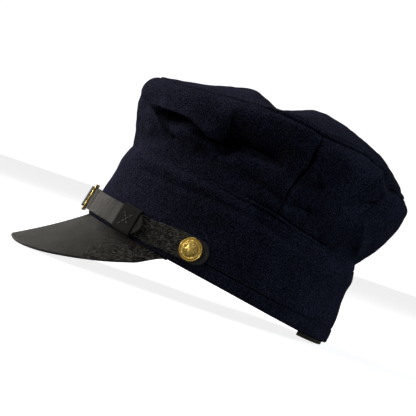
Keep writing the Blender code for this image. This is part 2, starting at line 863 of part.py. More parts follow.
back_foot = min(own_points("sweatband"), key=lambda spot: spot.z - spot.y * 0.2)
tilt = max(
    math.atan2(back_foot.z - spot.z, back_foot.y - spot.y) for spot in own_points("peak")
)
cap_rest.rotation_euler = (-tilt, 0.0, 0.0)
bpy.context.view_layer.update()
corners = []
for made in pieces.objects:
    if made.type == "MESH":
        corners += [made.matrix_world @ vert.co for vert in made.data.vertices]
middle_x = (min(spot.x for spot in corners) + max(spot.x for spot in corners)) / 2
middle_y = (min(spot.y for spot in corners) + max(spot.y for spot in corners)) / 2
lowest_z = min(spot.z for spot in corners)
cap_rest.location = (-middle_x, -middle_y, -lowest_z)
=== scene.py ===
"""Looks of a soft peaked cap: wool crown and band, leather peak and chin strap, brass buckle and buttons.

Metres. Surfaces are worked out in the cap's own frame, with the rim of the head opening level at
height 0, the front at -Y and the wearer's left at +X, and are then tipped to rest as the frame does.
"""

import math

import bpy
import numpy as np
from mathutils import Matrix, Vector


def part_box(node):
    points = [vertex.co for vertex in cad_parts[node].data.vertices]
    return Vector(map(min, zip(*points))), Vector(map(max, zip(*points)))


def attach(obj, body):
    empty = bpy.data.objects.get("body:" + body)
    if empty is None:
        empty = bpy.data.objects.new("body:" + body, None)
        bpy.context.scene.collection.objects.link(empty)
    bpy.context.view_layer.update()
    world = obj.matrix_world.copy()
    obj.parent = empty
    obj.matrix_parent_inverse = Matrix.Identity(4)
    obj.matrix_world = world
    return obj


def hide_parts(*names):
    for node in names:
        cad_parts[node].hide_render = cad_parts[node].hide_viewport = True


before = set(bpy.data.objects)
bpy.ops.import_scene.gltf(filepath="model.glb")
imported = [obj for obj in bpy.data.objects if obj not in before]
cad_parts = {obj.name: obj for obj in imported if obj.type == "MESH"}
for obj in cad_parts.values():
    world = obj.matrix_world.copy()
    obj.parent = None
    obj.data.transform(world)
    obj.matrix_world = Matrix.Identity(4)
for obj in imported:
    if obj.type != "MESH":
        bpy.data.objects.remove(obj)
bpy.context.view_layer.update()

MM = 0.001
SEED = 7

# Head opening, band and crown
RIM_LENGTH = 0.205
RIM_WIDTH = 0.168
FRONT_NARROWING = 0.0034
BAND_HEIGHT = 0.060
HEM_HEIGHT = 0.0096
RIM_DIP = 0.0016
CROWN_HEIGHT = 0.148
BAND_THICKNESS = 0.0028
CLOTH_THICKNESS = 0.0020
SEAM_GAP = 0.00035
SIDE_SEAM_TURN = 101.6
TOP_FULLNESS = 2.3
HALF_LENGTH = RIM_LENGTH / 2
HALF_WIDTH = RIM_WIDTH / 2
ARC_OF_DEGREE = math.radians(1.0) * (HALF_LENGTH + HALF_WIDTH) / 2

# Turns between which the side becomes the back, and the back its middle
REAR_TURNS = (70.0, 112.0)
LAST_TURNS = (134.0, 156.0)

# Stitching: its distance from the top seam in front, how much more that is at the back, and its
# height above the rim on the hem
TOPSTITCH_OFF = 0.0029
TOPSTITCH_OFF_REAR = 0.0031
TOPSTITCH_SPACING = 0.0026
HEM_STITCH_HEIGHT = HEM_HEIGHT + 0.0012
HEM_STITCH_SPACING = 0.0028
THREAD_RADIUS = 0.00016
KEEPER_THREAD_RADIUS = 0.00042

# Peak and sweatband
PEAK_REACH = 0.0605
PEAK_TURN = 71.0
PEAK_THICKNESS = 0.0022
PEAK_HOLLOW = 0.0010
PEAK_TAPER = 10.0
PEAK_THINNING = 0.7
PEAK_SEAT = 0.35
SWEATBAND_THICKNESS = 0.0014
SWEATBAND_HEIGHT = 0.022
SWEATBAND_DROP = 0.0032
SWEATBAND_TURN = 138.5
SWEATBAND_LINE = 0.0021
PEAK_LINE_INSET = 0.0026

# Chin strap, keeper, buckle and buttons
STRAP_WIDTH = 0.0168
STRAP_THICKNESS = 0.0010
STRAP_GAP = 0.00035
STRAP_HEIGHT = 0.0108
STRAP_RISE = 0.0031
BUTTON_END_WIDTH = 0.0182
STRAP_END_REACH = 0.0128
STRAP_LIFT = 0.0090
BUTTON_PLACE = 0.1232
POINT_LENGTH = 0.0062
POINT_CURL = 0.0016
KEEPER_LENGTH = 0.0170
KEEPER_PLACE = 0.0705
KEEPER_THICKNESS = 0.0010
KEEPER_MARGIN = 0.0009
BUCKLE_WIDTH = 0.0200
BUCKLE_HEIGHT = 0.0220
BUCKLE_THICKNESS = 0.0013
BUCKLE_BAR = 0.0022
BUCKLE_STANDOFF = 0.0048
BUCKLE_EDGE = 0.00034
BUTTON_WIDTH = 0.0168
BUTTON_RISE = 0.0042
BUTTON_RIM = 0.0010
DOME_SHARE = 0.86
STAR_POINTS = 5
STAR_SHARE = 0.60
STAR_RISE = 0.00034
STAR_RIDGE = 0.00044
ROPE_SHARE = 0.755
ROPE_RISE = 0.00028
RING_SHARE = 0.655
RING_RISE = 0.00007
STIPPLE_RISE = 0.00011

# How the cap rests: tipped forward on its peak and the back of the sweatband
REST_TILT = math.radians(9.291)

# Band from the rim to the crown seam.
# Columns: share of the band's height, front reach, back reach, side reach.
BAND_ROWS = (
    (0.00, 1.000, 0.984, 1.000),
    (0.35, 0.986, 0.966, 0.993),
    (0.62, 0.968, 0.940, 0.984),
    (0.78, 0.973, 0.944, 0.990),
    (0.92, 0.958, 0.920, 0.980),
    (1.00, 0.944, 0.904, 0.968),
)

# Side panels from the band seam to the top seam.
# Columns: place, share of the rise, front reach, back reach, side reach.
SIDE_ROWS = (
    (0.00, 0.00, 0.944, 0.904, 0.968),
    (0.12, 0.13, 0.968, 0.950, 0.995),
    (0.25, 0.29, 1.015, 1.000, 1.030),
    (0.42, 0.49, 1.068, 1.038, 1.062),
    (0.58, 0.65, 1.088, 1.054, 1.085),
    (0.72, 0.78, 1.098, 1.058, 1.108),
    (0.85, 0.90, 1.056, 1.048, 1.105),
    (1.00, 1.00, 0.965, 0.985, 1.040),
)

# Height of the crown's upper edge. Columns: turn from the front in degrees, share of the height.
SEAM_ROWS = (
    (0.0, 0.774),
    (30.0, 0.786),
    (60.0, 0.808),
    (75.0, 0.832),
    (90.0, 0.873),
    (105.0, 0.863),
    (125.0, 0.838),
    (145.0, 0.802),
    (180.0, 0.812),
)

# Ridge line of the top from front to back.
# Columns: place along the half length, share of the crown's height.
RIDGE_ROWS = (
    (-0.965, 0.774),
    (-0.780, 0.817),
    (-0.550, 0.884),
    (-0.350, 0.938),
    (-0.240, 0.926),
    (-0.130, 0.898),
    (-0.030, 0.931),
    (0.100, 0.988),
    (0.280, 1.000),
    (0.620, 0.962),
    (0.800, 0.912),
    (0.985, 0.812),
)

# Where the sewn lines run. Columns: turn from the front, level of the band seam, level of the top
# seam (level is -1 at the rim, 0 and 1 at the crown's lower and upper edge, 2 at the top's middle).
SEWN_ROWS = (
    (0.0, 0.028, 0.930),
    (34.0, 0.028, 0.900),
    (43.0, 0.030, 0.908),
    (51.5, 0.030, 0.926),
    (60.0, 0.030, 0.985),
    (67.0, 0.032, 0.985),
    (73.0, 0.036, 1.000),
    (82.0, 0.042, 0.955),
    (91.0, 0.046, 0.918),
    (101.5, 0.042, 0.935),
    (111.5, 0.016, 1.010),
    (118.5, 0.012, 1.040),
    (126.5, 0.002, 1.070),
    (133.0, -0.010, 1.055),
    (143.5, -0.038, 1.020),
    (158.0, -0.070, 0.995),
    (180.0, -0.080, 0.995),
)

# Folds that hang over: the upper side swells out and sags over a trench below it.
# Columns: line of turn in degrees, share of the crown's height and width of the trench, push and
# width of the upper side, push of the trench, sag of the upper side, lengths over which the fold
# rises and dies. Pushes are outward; all lengths are millimetres.
FOLDS = (
    # The roll of the upper crown over a deep slanting fold
    (((28.0, 0.626, 5.0), (31.0, 0.628, 7.2), (34.0, 0.633, 8.6), (36.5, 0.637, 9.4), (40.5, 0.641, 9.4),
      (45.0, 0.644, 8.6), (49.4, 0.640, 7.6), (53.0, 0.628, 7.2), (57.3, 0.609, 5.8), (60.6, 0.594, 4.6),
      (64.0, 0.582, 4.0)),
     2.4, 8.0, -12.0, 2.0, 10.0, 10.0),
    # Right side: a slanting fold
    (((-26.0, 0.646, 5.0), (-38.0, 0.634, 6.0), (-48.0, 0.620, 6.0), (-58.0, 0.606, 6.0), (-66.0, 0.590, 5.0),
      (-72.0, 0.575, 4.0)),
     1.6, 9.0, -5.0, 2.0, 10.0, 8.0),
)

# Sharp ridges (+) and valleys (-) pinched along a line of turn and share.
# Columns: line, push, width on its left and on its right, lengths over which it rises and dies,
# roundness of its edge, in millimetres. Left is above on a line that runs with the turn.
CREASES = (
    # A thin pinched edge from the front corner down to a dimple
    (((11.0, 0.668), (14.5, 0.660), (19.0, 0.648), (23.5, 0.634), (26.8, 0.620), (29.2, 0.599),
      (32.0, 0.571), (35.0, 0.546), (38.0, 0.530), (41.0, 0.522)),
     3.2, 1.1, 2.4, 9.0, 12.0, 0.10),
    (((14.5, 0.660), (19.0, 0.648), (23.5, 0.634), (26.8, 0.620), (29.2, 0.599), (32.0, 0.571),
      (35.0, 0.546), (38.0, 0.528)),
     1.2, 1.0, 1.0, 6.0, 4.0, 0.10),
    (((10.0, 0.640), (16.0, 0.628), (20.5, 0.612), (23.5, 0.590)),
     -1.5, 2.4, 5.0, 4.0, 6.0, 0.8),
    # A broad hollow from the pocket where the deep fold ends on to the side seam
    (((57.0, 0.603), (60.5, 0.586), (63.0, 0.572), (65.5, 0.564), (68.0, 0.572), (70.5, 0.594), (73.5, 0.611),
      (79.0, 0.620), (83.0, 0.625), (87.0, 0.629), (91.0, 0.633), (95.0, 0.636), (102.0, 0.633)),
     -9.5, 9.5, 2.4, 14.0, 30.0, 1.2),
    # Above the band seam the cloth leans back
    (((26.0, 0.505), (45.0, 0.505), (70.0, 0.505), (92.0, 0.500)),
     -2.4, 8.0, 6.0, 14.0, 14.0, 2.5),
    (((14.0, 0.366), (40.0, 0.366), (70.0, 0.367), (96.0, 0.367)),
     2.8, 10.0, 5.0, 16.0, 14.0, 1.6),
    # The crest of the far hump of the top, seen over the near one
    (((46.0, 0.900), (53.5, 0.888), (66.0, 0.860), (76.0, 0.848), (82.0, 0.838)),
     1.0, 4.0, 5.0, 12.0, 10.0, 0.8),
    # A ridge over the back corner of the top, with a hollow behind it
    (((150.0, 0.912), (146.0, 0.897), (140.6, 0.858), (137.2, 0.822), (134.4, 0.790), (136.6, 0.768),
      (139.2, 0.750), (140.2, 0.724)),
     3.6, 2.4, 7.0, 8.0, 5.0, 0.4),
    (((157.0, 0.888), (152.5, 0.874), (149.5, 0.852), (148.8, 0.822), (150.0, 0.798), (151.5, 0.784)),
     -7.0, 8.0, 3.0, 8.0, 8.0, 1.0),
    # A small crease runs forward from the ridge's foot
    (((126.5, 0.608), (129.8, 0.616), (131.6, 0.636), (133.6, 0.658), (136.4, 0.671), (138.4, 0.690),
      (140.2, 0.706)),
     -4.2, 1.3, 2.4, 8.0, 6.0, 0.35),
    (((127.0, 0.630), (129.5, 0.650), (132.0, 0.675), (135.0, 0.695), (138.5, 0.715)),
     1.1, 3.0, 1.6, 6.0, 5.0, 0.6),
    # A soft upright fold low on the back
    (((138.6, 0.625), (142.1, 0.563), (145.9, 0.514), (151.2, 0.466), (158.0, 0.430)),
     3.6, 5.0, 8.0, 9.0, 6.0, 0.8),
    (((134.5, 0.600), (137.0, 0.573), (140.0, 0.532), (144.0, 0.482), (150.0, 0.436)),
     -0.8, 6.0, 14.0, 8.0, 5.0, 3.0),
    # Wrinkles drawn to the side seam
    (((82.0, 0.520), (86.6, 0.511), (90.5, 0.505), (95.2, 0.498), (99.8, 0.491), (102.5, 0.490)),
     -1.8, 3.4, 2.0, 9.0, 2.0, 0.7),
    (((103.4, 0.552), (106.8, 0.580), (110.0, 0.603), (112.7, 0.623), (115.4, 0.642)),
     -2.8, 3.0, 1.6, 2.5, 7.0, 0.5),
    (((103.4, 0.476), (107.5, 0.488), (110.3, 0.497), (114.3, 0.500), (118.6, 0.502)),
     -2.6, 3.0, 1.6, 2.5, 8.0, 0.5),
    # A long dent pressed in to the band
    (((30.0, 0.316), (37.2, 0.319), (46.6, 0.324), (55.2, 0.327), (66.0, 0.337), (79.0, 0.350), (87.0, 0.355),
      (99.0, 0.354), (109.0, 0.345), (121.0, 0.333), (128.0, 0.325)),
     -1.9, 4.0, 2.6, 16.0, 10.0, 1.0),
    # Right side: a soft hollow behind its fold, and upright folds
    (((-110.0, 0.660), (-98.0, 0.652), (-84.0, 0.655), (-72.0, 0.640), (-66.0, 0.600)),
     -4.0, 5.6, 5.6, 8.0, 8.0, 2.0),
    (((-132.0, 0.600), (-134.0, 0.520), (-133.0, 0.440)),
     -1.8, 6.0, 4.0, 8.0, 6.0, 1.2),
    (((-150.0, 0.560), (-158.0, 0.640), (-161.0, 0.720)),
     -1.6, 5.0, 5.0, 8.0, 10.0, 1.2),
    (((-112.0, 0.352), (-95.0, 0.350), (-75.0, 0.345), (-50.0, 0.335), (-34.0, 0.330)),
     -1.2, 3.6, 4.0, 16.0, 14.0, 1.2),
)

# Where the side seams run. Columns: level (0 and 1 at the crown's lower and upper edge), turn.
SIDE_SEAM_ROWS = (
    (0.00, 101.6),
    (0.08, 101.6),
    (0.17, 101.2),
    (0.27, 100.4),
    (0.35, 100.8),
    (0.43, 101.6),
    (0.53, 102.3),
    (0.63, 102.3),
    (0.73, 101.7),
    (0.87, 101.6),
    (1.00, 101.8),
)

# Single swellings (+) and dents (-). Columns: turn, share of the height, push and width in millimetres.
DENTS = (
    (67.4, 0.580, -5.0, 4.6),
    (52.5, 0.570, 2.8, 9.0),
    (48.0, 0.592, 1.8, 9.0),
    (41.2, 0.520, -2.2, 1.5),
    (44.5, 0.585, 0.9, 5.0),
    (43.0, 0.555, 1.3, 7.0),
    (12.5, 0.740, 2.4, 7.5),
    (31.0, 0.750, -1.2, 10.0),
    (36.0, 0.450, 1.5, 10.0),
    (0.0, 0.590, -1.3, 18.0),
    (0.0, 0.710, -1.2, 16.0),
    (180.0, 0.845, 2.0, 12.0),
    (118.0, 0.700, 1.2, 16.0),
    (160.0, 0.620, 1.3, 14.0),
    (12.0, 0.560, 0.7, 6.0),
    (5.0, 0.640, -0.8, 7.0),
    (-20.0, 0.560, 0.9, 12.0),
    (-45.0, 0.520, -1.0, 12.0),
    (-90.0, 0.560, 1.0, 14.0),
    (-120.0, 0.740, 1.0, 16.0),
    (180.0, 0.560, -1.0, 14.0),
)

# Peak round its arc. Columns: share of the peak's half turn, share of the reach, slope in degrees.
PEAK_ROWS = (
    (0.00, 1.000, 42.0),
    (0.21, 0.952, 45.2),
    (0.42, 0.830, 46.6),
    (0.63, 0.610, 47.0),
    (0.85, 0.270, 50.0),
    (1.00, 0.020, 50.0),
)


def eased(rows, place, level_ends=False):
    """Every column after the first, run smoothly through the rows, at each of many places."""
    rows = np.asarray(rows, float)
    place = np.asarray(place, float)
    last = len(rows) - 1
    low = np.clip(np.searchsorted(rows[:, 0], place, side="right") - 1, 0, last - 1)
    high = low + 1
    before = np.maximum(low - 1, 0)
    after = np.minimum(high + 1, last)
    step = (rows[high, 0] - rows[low, 0])[..., None]
    part = np.clip((place[..., None] - rows[low, 0][..., None]) / step, 0.0, 1.0)
    start, end = rows[low, 1:], rows[high, 1:]
    rise_in = (end - rows[before, 1:]) / (rows[high, 0] - rows[before, 0])[..., None] * step
    rise_out = (rows[after, 1:] - start) / (rows[after, 0] - rows[low, 0])[..., None] * step
    if level_ends:
        rise_in = np.where((low == 0)[..., None], 0.0, rise_in)
        rise_out = np.where((low == last - 1)[..., None], 0.0, rise_out)
    curve = (
        start * (2 * part**3 - 3 * part**2 + 1)
        + rise_in * (part**3 - 2 * part**2 + part)
        + end * (3 * part**2 - 2 * part**3)
        + rise_out * (part**3 - part**2)
    )
    return np.moveaxis(curve, -1, 0)


def softened(value, low, high):
    """0 below low, 1 above high, with a smooth rise between."""
    part = np.clip((value - low) / (high - low), 0.0, 1.0)
    return part * part * (3 - 2 * part)


def bell(distance, width):
    """1 at no distance, falling smoothly away over the width."""
    return np.exp(-((distance / width) ** 2))


def turned(turn, middle=0.0):
    """Degrees from the middle to this turn, between -180 and 180."""
    return (turn - middle + 180) % 360 - 180


def from_front(turn):
    """Degrees from the front to this turn, the shorter way round."""
    return np.abs(turned(turn))


def unit(vectors):
    """Each vector at length one."""
    return vectors / np.maximum(np.linalg.norm(vectors, axis=-1, keepdims=True), 1e-12)


def oval(turn, front, back, side, height):
    """Points of the egg-shaped section at these turns in degrees from the front."""
    angle = np.radians(turn)
    reach = np.where(np.cos(angle) > 0, front, back)
    across = side * np.sin(angle) * (HALF_WIDTH - FRONT_NARROWING * np.cos(angle))
    return np.stack([across, -HALF_LENGTH * reach * np.cos(angle), height], axis=-1)


def rippled(points, wavelength, seed, waves=14):
    """A smooth random value near -1 to 1 at each point."""
    draw = np.random.default_rng(SEED + seed)
    total = np.zeros(points.shape[:-1])
    for _ in range(waves):
        direction = unit(draw.normal(size=3))
        length = wavelength * draw.uniform(0.7, 1.5)
        total += np.sin(2 * math.pi * (points @ direction) / length + draw.uniform(0, 2 * math.pi))
    return total / math.sqrt(waves / 2) / 1.6


def band(turn, share):
    """Outer face of the band, share 0 at the rim to 1 at the crown's lower edge."""
    front, back, side = eased(BAND_ROWS, share)
    dip = RIM_DIP * softened(from_front(turn), 85.0, 150.0) * (1 - share) ** 2
    return oval(turn, front, back, side, BAND_HEIGHT * share - dip)


def plain(turn, level):
    """The cap's outer face before folding, from the rim (-1) to the middle of the top (2)."""
    turn, level = np.broadcast_arrays(np.asarray(turn, float), np.asarray(level, float))
    below = band(turn, np.clip(1 + level, -0.1, 1.0))
    rise, front, back, side = eased(SIDE_ROWS, np.clip(level, 0, 1))
    edge = CROWN_HEIGHT * eased(SEAM_ROWS, from_front(turn), True)[0]
    beside = oval(turn, front, back, side, BAND_HEIGHT + (edge - BAND_HEIGHT) * rise)
    front, back, side = SIDE_ROWS[-1][2:]
    radius = np.clip(2 - level, 0.0, 1.0)
    seam = oval(turn, front, back, side, edge)
    flat = seam[..., :2] * radius[..., None]
    reach = HALF_LENGTH * np.where(flat[..., 1] < 0, front, back)
    along = np.clip(flat[..., 1] / reach, -1.0, 1.0)
    half = np.sqrt(np.maximum(1 - along**2, 0.0))
    across = np.abs(np.sin(np.radians(turn))) * radius
    off = np.minimum(across / np.maximum(half, 1e-6), 1.0)
    edge_turn = np.degrees(np.arccos(-along))
    low = CROWN_HEIGHT * eased(SEAM_ROWS, edge_turn, True)[0]
    ridge = CROWN_HEIGHT * eased(RIDGE_ROWS, flat[..., 1] / HALF_LENGTH)[0]
    height = low + (ridge - low) * (1 - off**TOP_FULLNESS)
    above = np.concatenate([flat, height[..., None]], axis=-1)
    level = level[..., None]
    return np.where(level < 0, below, np.where(level <= 1, beside, above))


def directions(turn, level, surface=plain, step=0.012):
    """Unit normal outward, unit direction up the surface, and metres per degree and per level."""
    angle = np.radians(turn)
    radius = np.clip(2 - level, 0.0, 3.0)
    inner = radius < 0.35
    one = surface(turn + step * 60, level) - surface(turn - step * 60, level)
    two = surface(turn, level + step) - surface(turn, level - step)
    around = np.linalg.norm(one, axis=-1) / (2 * step * 60)
    upward = np.linalg.norm(two, axis=-1) / (2 * step)
    normal = unit(np.cross(one, two))
    across = radius * np.sin(angle)
    along = -radius * np.cos(angle)

    def at(x, y):
        return surface(np.degrees(np.arctan2(x, -y)), 2 - np.hypot(x, y))

    flat_one = at(across + step, along) - at(across - step, along)
    flat_two = at(across, along + step) - at(across, along - step)
    normal = np.where(inner[..., None], unit(np.cross(flat_one, flat_two)), normal)
    return normal, unit(two), around, upward


def line_field(turn, height, line):
    """Signed distance in metres from a line on the map of turn and height, length run along it, the
    line's whole length, and the length run to each of its bends."""
    spots = np.stack([turn * ARC_OF_DEGREE, height], axis=-1)
    bends = np.array([(spot[0] * ARC_OF_DEGREE, spot[1] * CROWN_HEIGHT) for spot in line])
    best = np.full(turn.shape, 1e9)
    side = np.zeros(turn.shape)
    along = np.zeros(turn.shape)
    run = 0.0
    runs = [0.0]
    for start, end in zip(bends, bends[1:]):
        way = end - start
        length = math.hypot(*way)
        off = spots - start
        part = np.clip(off @ way / length**2, 0.0, 1.0)
        gap = np.linalg.norm(off - part[..., None] * way, axis=-1)
        nearer = gap < best
        best = np.where(nearer, gap, best)
        side = np.where(nearer, np.sign(way[0] * off[..., 1] - way[1] * off[..., 0]), side)
        along = np.where(nearer, run + part * length, along)
        run += length
        runs.append(run)
    return best * side, along, run, runs


def folded(turn, level):
    """The crown and band with their folds, dents and ripples."""
    points = plain(turn, level)
    normal, up, _, _ = directions(turn, level)
    seen = np.degrees(np.arctan2(points[..., 0], -points[..., 1]))
    height = points[..., 2]
    push = np.zeros(seen.shape)
    sag = np.zeros(seen.shape)
    band_push = np.zeros(seen.shape)

    def followed(line, rise, die):
        first = line[0][0]
        off, along, run, runs = line_field(turned(seen, first) + first, height, line)
        strength = softened(along, 0, rise * MM) * softened(run - along, 0, die * MM)
        return off, strength, along, runs

    for line, depth, left_width, right_width, rise, die, edge in CREASES:
        off, strength, _, _ = followed(line, rise, die)
        width = np.where(off > 0, left_width, right_width) * MM
        fall = (np.hypot(off, edge * MM) - edge * MM) / width
        change = strength * depth * np.exp(-fall)
        if line[0][1] * CROWN_HEIGHT < BAND_HEIGHT:
            band_push += change
        else:
            push += change
    for line, over_push, over_width, trench, over_sag, rise, die in FOLDS:
        off, strength, along, runs = followed(line, rise, die)
        off = off * (1 if line[-1][0] > line[0][0] else -1)
        width = np.interp(along, runs, [spot[2] for spot in line]) * MM
        over = softened(off, -0.8 * MM, 0.8 * MM)
        above = over_push * bell(off, over_width * MM)
        below = trench * np.exp(-np.abs(np.minimum(off, 0) / width) ** 3.2)
        push += strength * (over * above + (1 - over) * below)
        sag += strength * over_sag * over * bell(off, over_width * 0.8 * MM)
    for dent_turn, share, dent_push, width in DENTS:
        off = np.hypot(turned(seen, dent_turn) * ARC_OF_DEGREE, height - share * CROWN_HEIGHT)
        push += dent_push * bell(off, width * MM)
    crown_only = softened(height, BAND_HEIGHT * 1.02, BAND_HEIGHT * 1.2)
    middle = softened(np.hypot(points[..., 0], points[..., 1]), HALF_WIDTH * 0.3, HALF_WIDTH * 0.8)
    push *= crown_only * middle
    sag *= crown_only * middle
    push += band_push * (1 - crown_only)

    # Ripples all over, softer on the band
    soft = 0.45 + 0.55 * crown_only
    push += soft * (0.50 * rippled(points, 0.030, 1) + 0.24 * rippled(points, 0.011, 2))
    return points + normal * (push * MM)[..., None] - up * (sag * MM)[..., None]


def side_seam(level):
    """Turn of the side seams at this level."""
    return eased(SIDE_SEAM_ROWS, np.clip(level, 0.0, 1.0))[0]


def rearness(past):
    """How far these turns lie at the rear and in the middle of the back, each 0 to 1, and how much
    deeper the seams are there."""
    rear = softened(past, *REAR_TURNS)
    last = softened(past, *LAST_TURNS)
    return rear, last, rear * (1 - 0.85 * last)


def topstitch_off(past):
    """How far the topstitching runs from the top seam, further at the back."""
    return TOPSTITCH_OFF + TOPSTITCH_OFF_REAR * softened(past, *REAR_TURNS)


def top_seam_relief(above, past, on_top):
    """Rise in millimetres by the top seam: a groove, and on the top panel a welt with a line of
    stitches pressed into it."""
    rear, last, deep = rearness(past)
    distance = np.abs(above)
    welt = 0.55 * (softened(distance, 0.4 * MM, 1.2 * MM) - softened(distance, 2.6 * MM, 5.4 * MM))
    stitch_depth = 0.50 + 0.90 * rear - 0.95 * last
    stitched = stitch_depth * bell(distance - topstitch_off(past), (0.40 + 0.30 * rear) * MM)
    groove = (0.4 + 1.3 * deep) * bell(distance, np.where(on_top, 0.55, 0.80) * MM)
    return np.where(on_top, welt - stitched, 0.0) - groove


def band_seam_relief(above, past):
    """Rise in millimetres by the band seam: a groove under the crown, and a lip on the band."""
    _, _, deep = rearness(past)
    distance = np.abs(above)
    on_band = above < 0
    lip = 0.90 * deep * bell(distance - 1.2 * MM, 0.9 * MM)
    hollow = 0.5 * deep * bell(distance, 3.0 * MM)
    groove = (0.22 + 0.75 * deep) * bell(distance, np.where(on_band, 0.40, 0.80) * MM)
    return np.where(on_band, lip, -hollow) - groove


def side_seam_relief(behind, level):
    """Rise in millimetres by a side seam: a groove with a swell behind it, and in front of it the
    cloth drawn in, most halfway up."""
    wedge = softened(level, 0.20, 0.50) * (1 - softened(level, 0.62, 0.85))
    distance = np.abs(behind)
    at_back = behind > 0
    swell = 0.30 * (softened(distance, 0.4 * MM, 1.6 * MM) - softened(distance, 3.0 * MM, 7.0 * MM))
    drawn_in = (0.5 + 1.5 * wedge) * bell(distance, (2.5 + 2.0 * wedge) * MM)
    groove = (0.85 + 0.65 * wedge) * bell(distance, np.where(at_back, 0.45, 0.60 + 0.25 * wedge) * MM)
    return np.where(at_back, swell, -drawn_in) - groove


def hem_relief(above):
    """Rise in millimetres by the hem: a groove above the turned-up edge."""
    return 0.40 * softened(-above, 0.3 * MM, 1.2 * MM) - 0.80 * bell(above, 0.50 * MM)


def sewn(turn, level, on_top=None):
    """The finished cloth, its outward direction, and its painted shade from 0 to 1, darkest where it lies
    deep in a fold or a seam: the folded surface with its seams, their stitching and its hem drawn in."""
    past = from_front(turn)
    low_seam, top_seam = eased(SEWN_ROWS, past, True)
    points = folded(turn, level)
    normal, _, around, upward = directions(turn, level)
    above_top = (level - top_seam) * upward
    above_low = (level - low_seam) * upward
    behind = (past - side_seam(level)) * around
    low_down = level < -0.5
    on_top = above_top >= 0 if on_top is None else on_top
    fading = np.clip(-above_top / (3 * MM), 0, 1) * np.clip(above_low / (2 * MM), 0, 1)
    push = top_seam_relief(above_top, past, on_top) + band_seam_relief(above_low, past)
    push += side_seam_relief(behind, level) * fading
    push += np.where(low_down, hem_relief(points[..., 2] - HEM_HEIGHT), 0.0)
    pucker = 1 + 0.25 * rippled(points, 0.008, 5)
    points = points + normal * (push * pucker * MM)[..., None]

    # Painted shade: darker where the cloth lies deep in a fold, and along the top seam, its topstitching, the
    # side seams and the hem line
    rear, _, _ = rearness(past)
    depth = np.sum((plain(turn, level) - points) * normal, axis=-1)
    painted_shade = softened(depth, 3.0 * MM, 9.0 * MM)
    painted_shade += (0.35 + 0.60 * rear) * bell(above_top, (0.5 + 0.3 * rear) * MM)
    painted_shade += (0.20 + 0.50 * rear) * bell(above_top - topstitch_off(past), (0.4 + 0.3 * rear) * MM)
    painted_shade += 0.35 * bell(behind, 0.5 * MM) * (1 - softened(level, 0.95, 1.05))
    hem_shade = bell(points[..., 2] - HEM_HEIGHT, 0.62 * MM) * (1 - 0.75 * softened(past, 128.0, 150.0))
    painted_shade += np.where(low_down, 0.85 * hem_shade, 0.0)
    return points, normal, np.clip(painted_shade, 0.0, 1.0)


def even(count, squeeze=0.0):
    """Shares from 0 to 1, closer together at both ends."""
    share = np.linspace(0.0, 1.0, count + 1)
    return share - squeeze * np.sin(2 * math.pi * share) / (2 * math.pi)


def rest_matrix():
    """Cap frame to row frame: the tilt, then the move that lays the rim where the CAD's band is."""
    tilt = Matrix.Rotation(-REST_TILT, 4, "X")
    turns = np.arange(60) * 6.0
    points = [band(turns, np.full(60, share)) for share in (0.0, 1.0)]
    points = np.concatenate(points) @ np.array(tilt.to_3x3()).T
    low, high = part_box("band")
    move = (
        (low.x + high.x) / 2 - (points[:, 0].min() + points[:, 0].max()) / 2,
        low.y - points[:, 1].min(),
        high.z - points[:, 2].max(),
    )
    return Matrix.Translation(move) @ tilt


REST = rest_matrix()
REST_TURN = np.array(REST.to_3x3())
REST_MOVE = np.array(REST.translation)


def to_row(points):
    """Points of the cap's own frame as they lie in the row frame."""
    return points @ REST_TURN.T + REST_MOVE


def add_object(name, data):
    """A new object in the scene."""
    made = bpy.data.objects.new(name, data)
    bpy.context.scene.collection.objects.link(made)
    return made


def build(name, points, faces, material, node=None, slot=None, sharp=50.0):
    """A piece from points of the cap's frame and faces, riding on the cap, which may stand for a CAD
    node. Its slot is not used."""
    mesh = bpy.data.meshes.new(name)
    mesh.from_pydata(to_row(points).tolist(), [], faces)
    mesh.materials.append(material)
    mesh.shade_smooth()
    mesh.set_sharp_from_angle(angle=math.radians(sharp))
    made = add_object(name, mesh)
    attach(made, "root")
    if node:
        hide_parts(node)
    return made


def painted(made, name, values, repeated=False):
    """Gives each point of the piece a number that its material reads. Past the given numbers they
    are repeated, or else 0."""
    count = len(made.data.vertices)
    filled = np.resize(values, count)
    if not repeated:
        filled[np.size(values):] = 0.0
    made.data.attributes.new(name, "FLOAT", "POINT").data.foreach_set("value", filled)


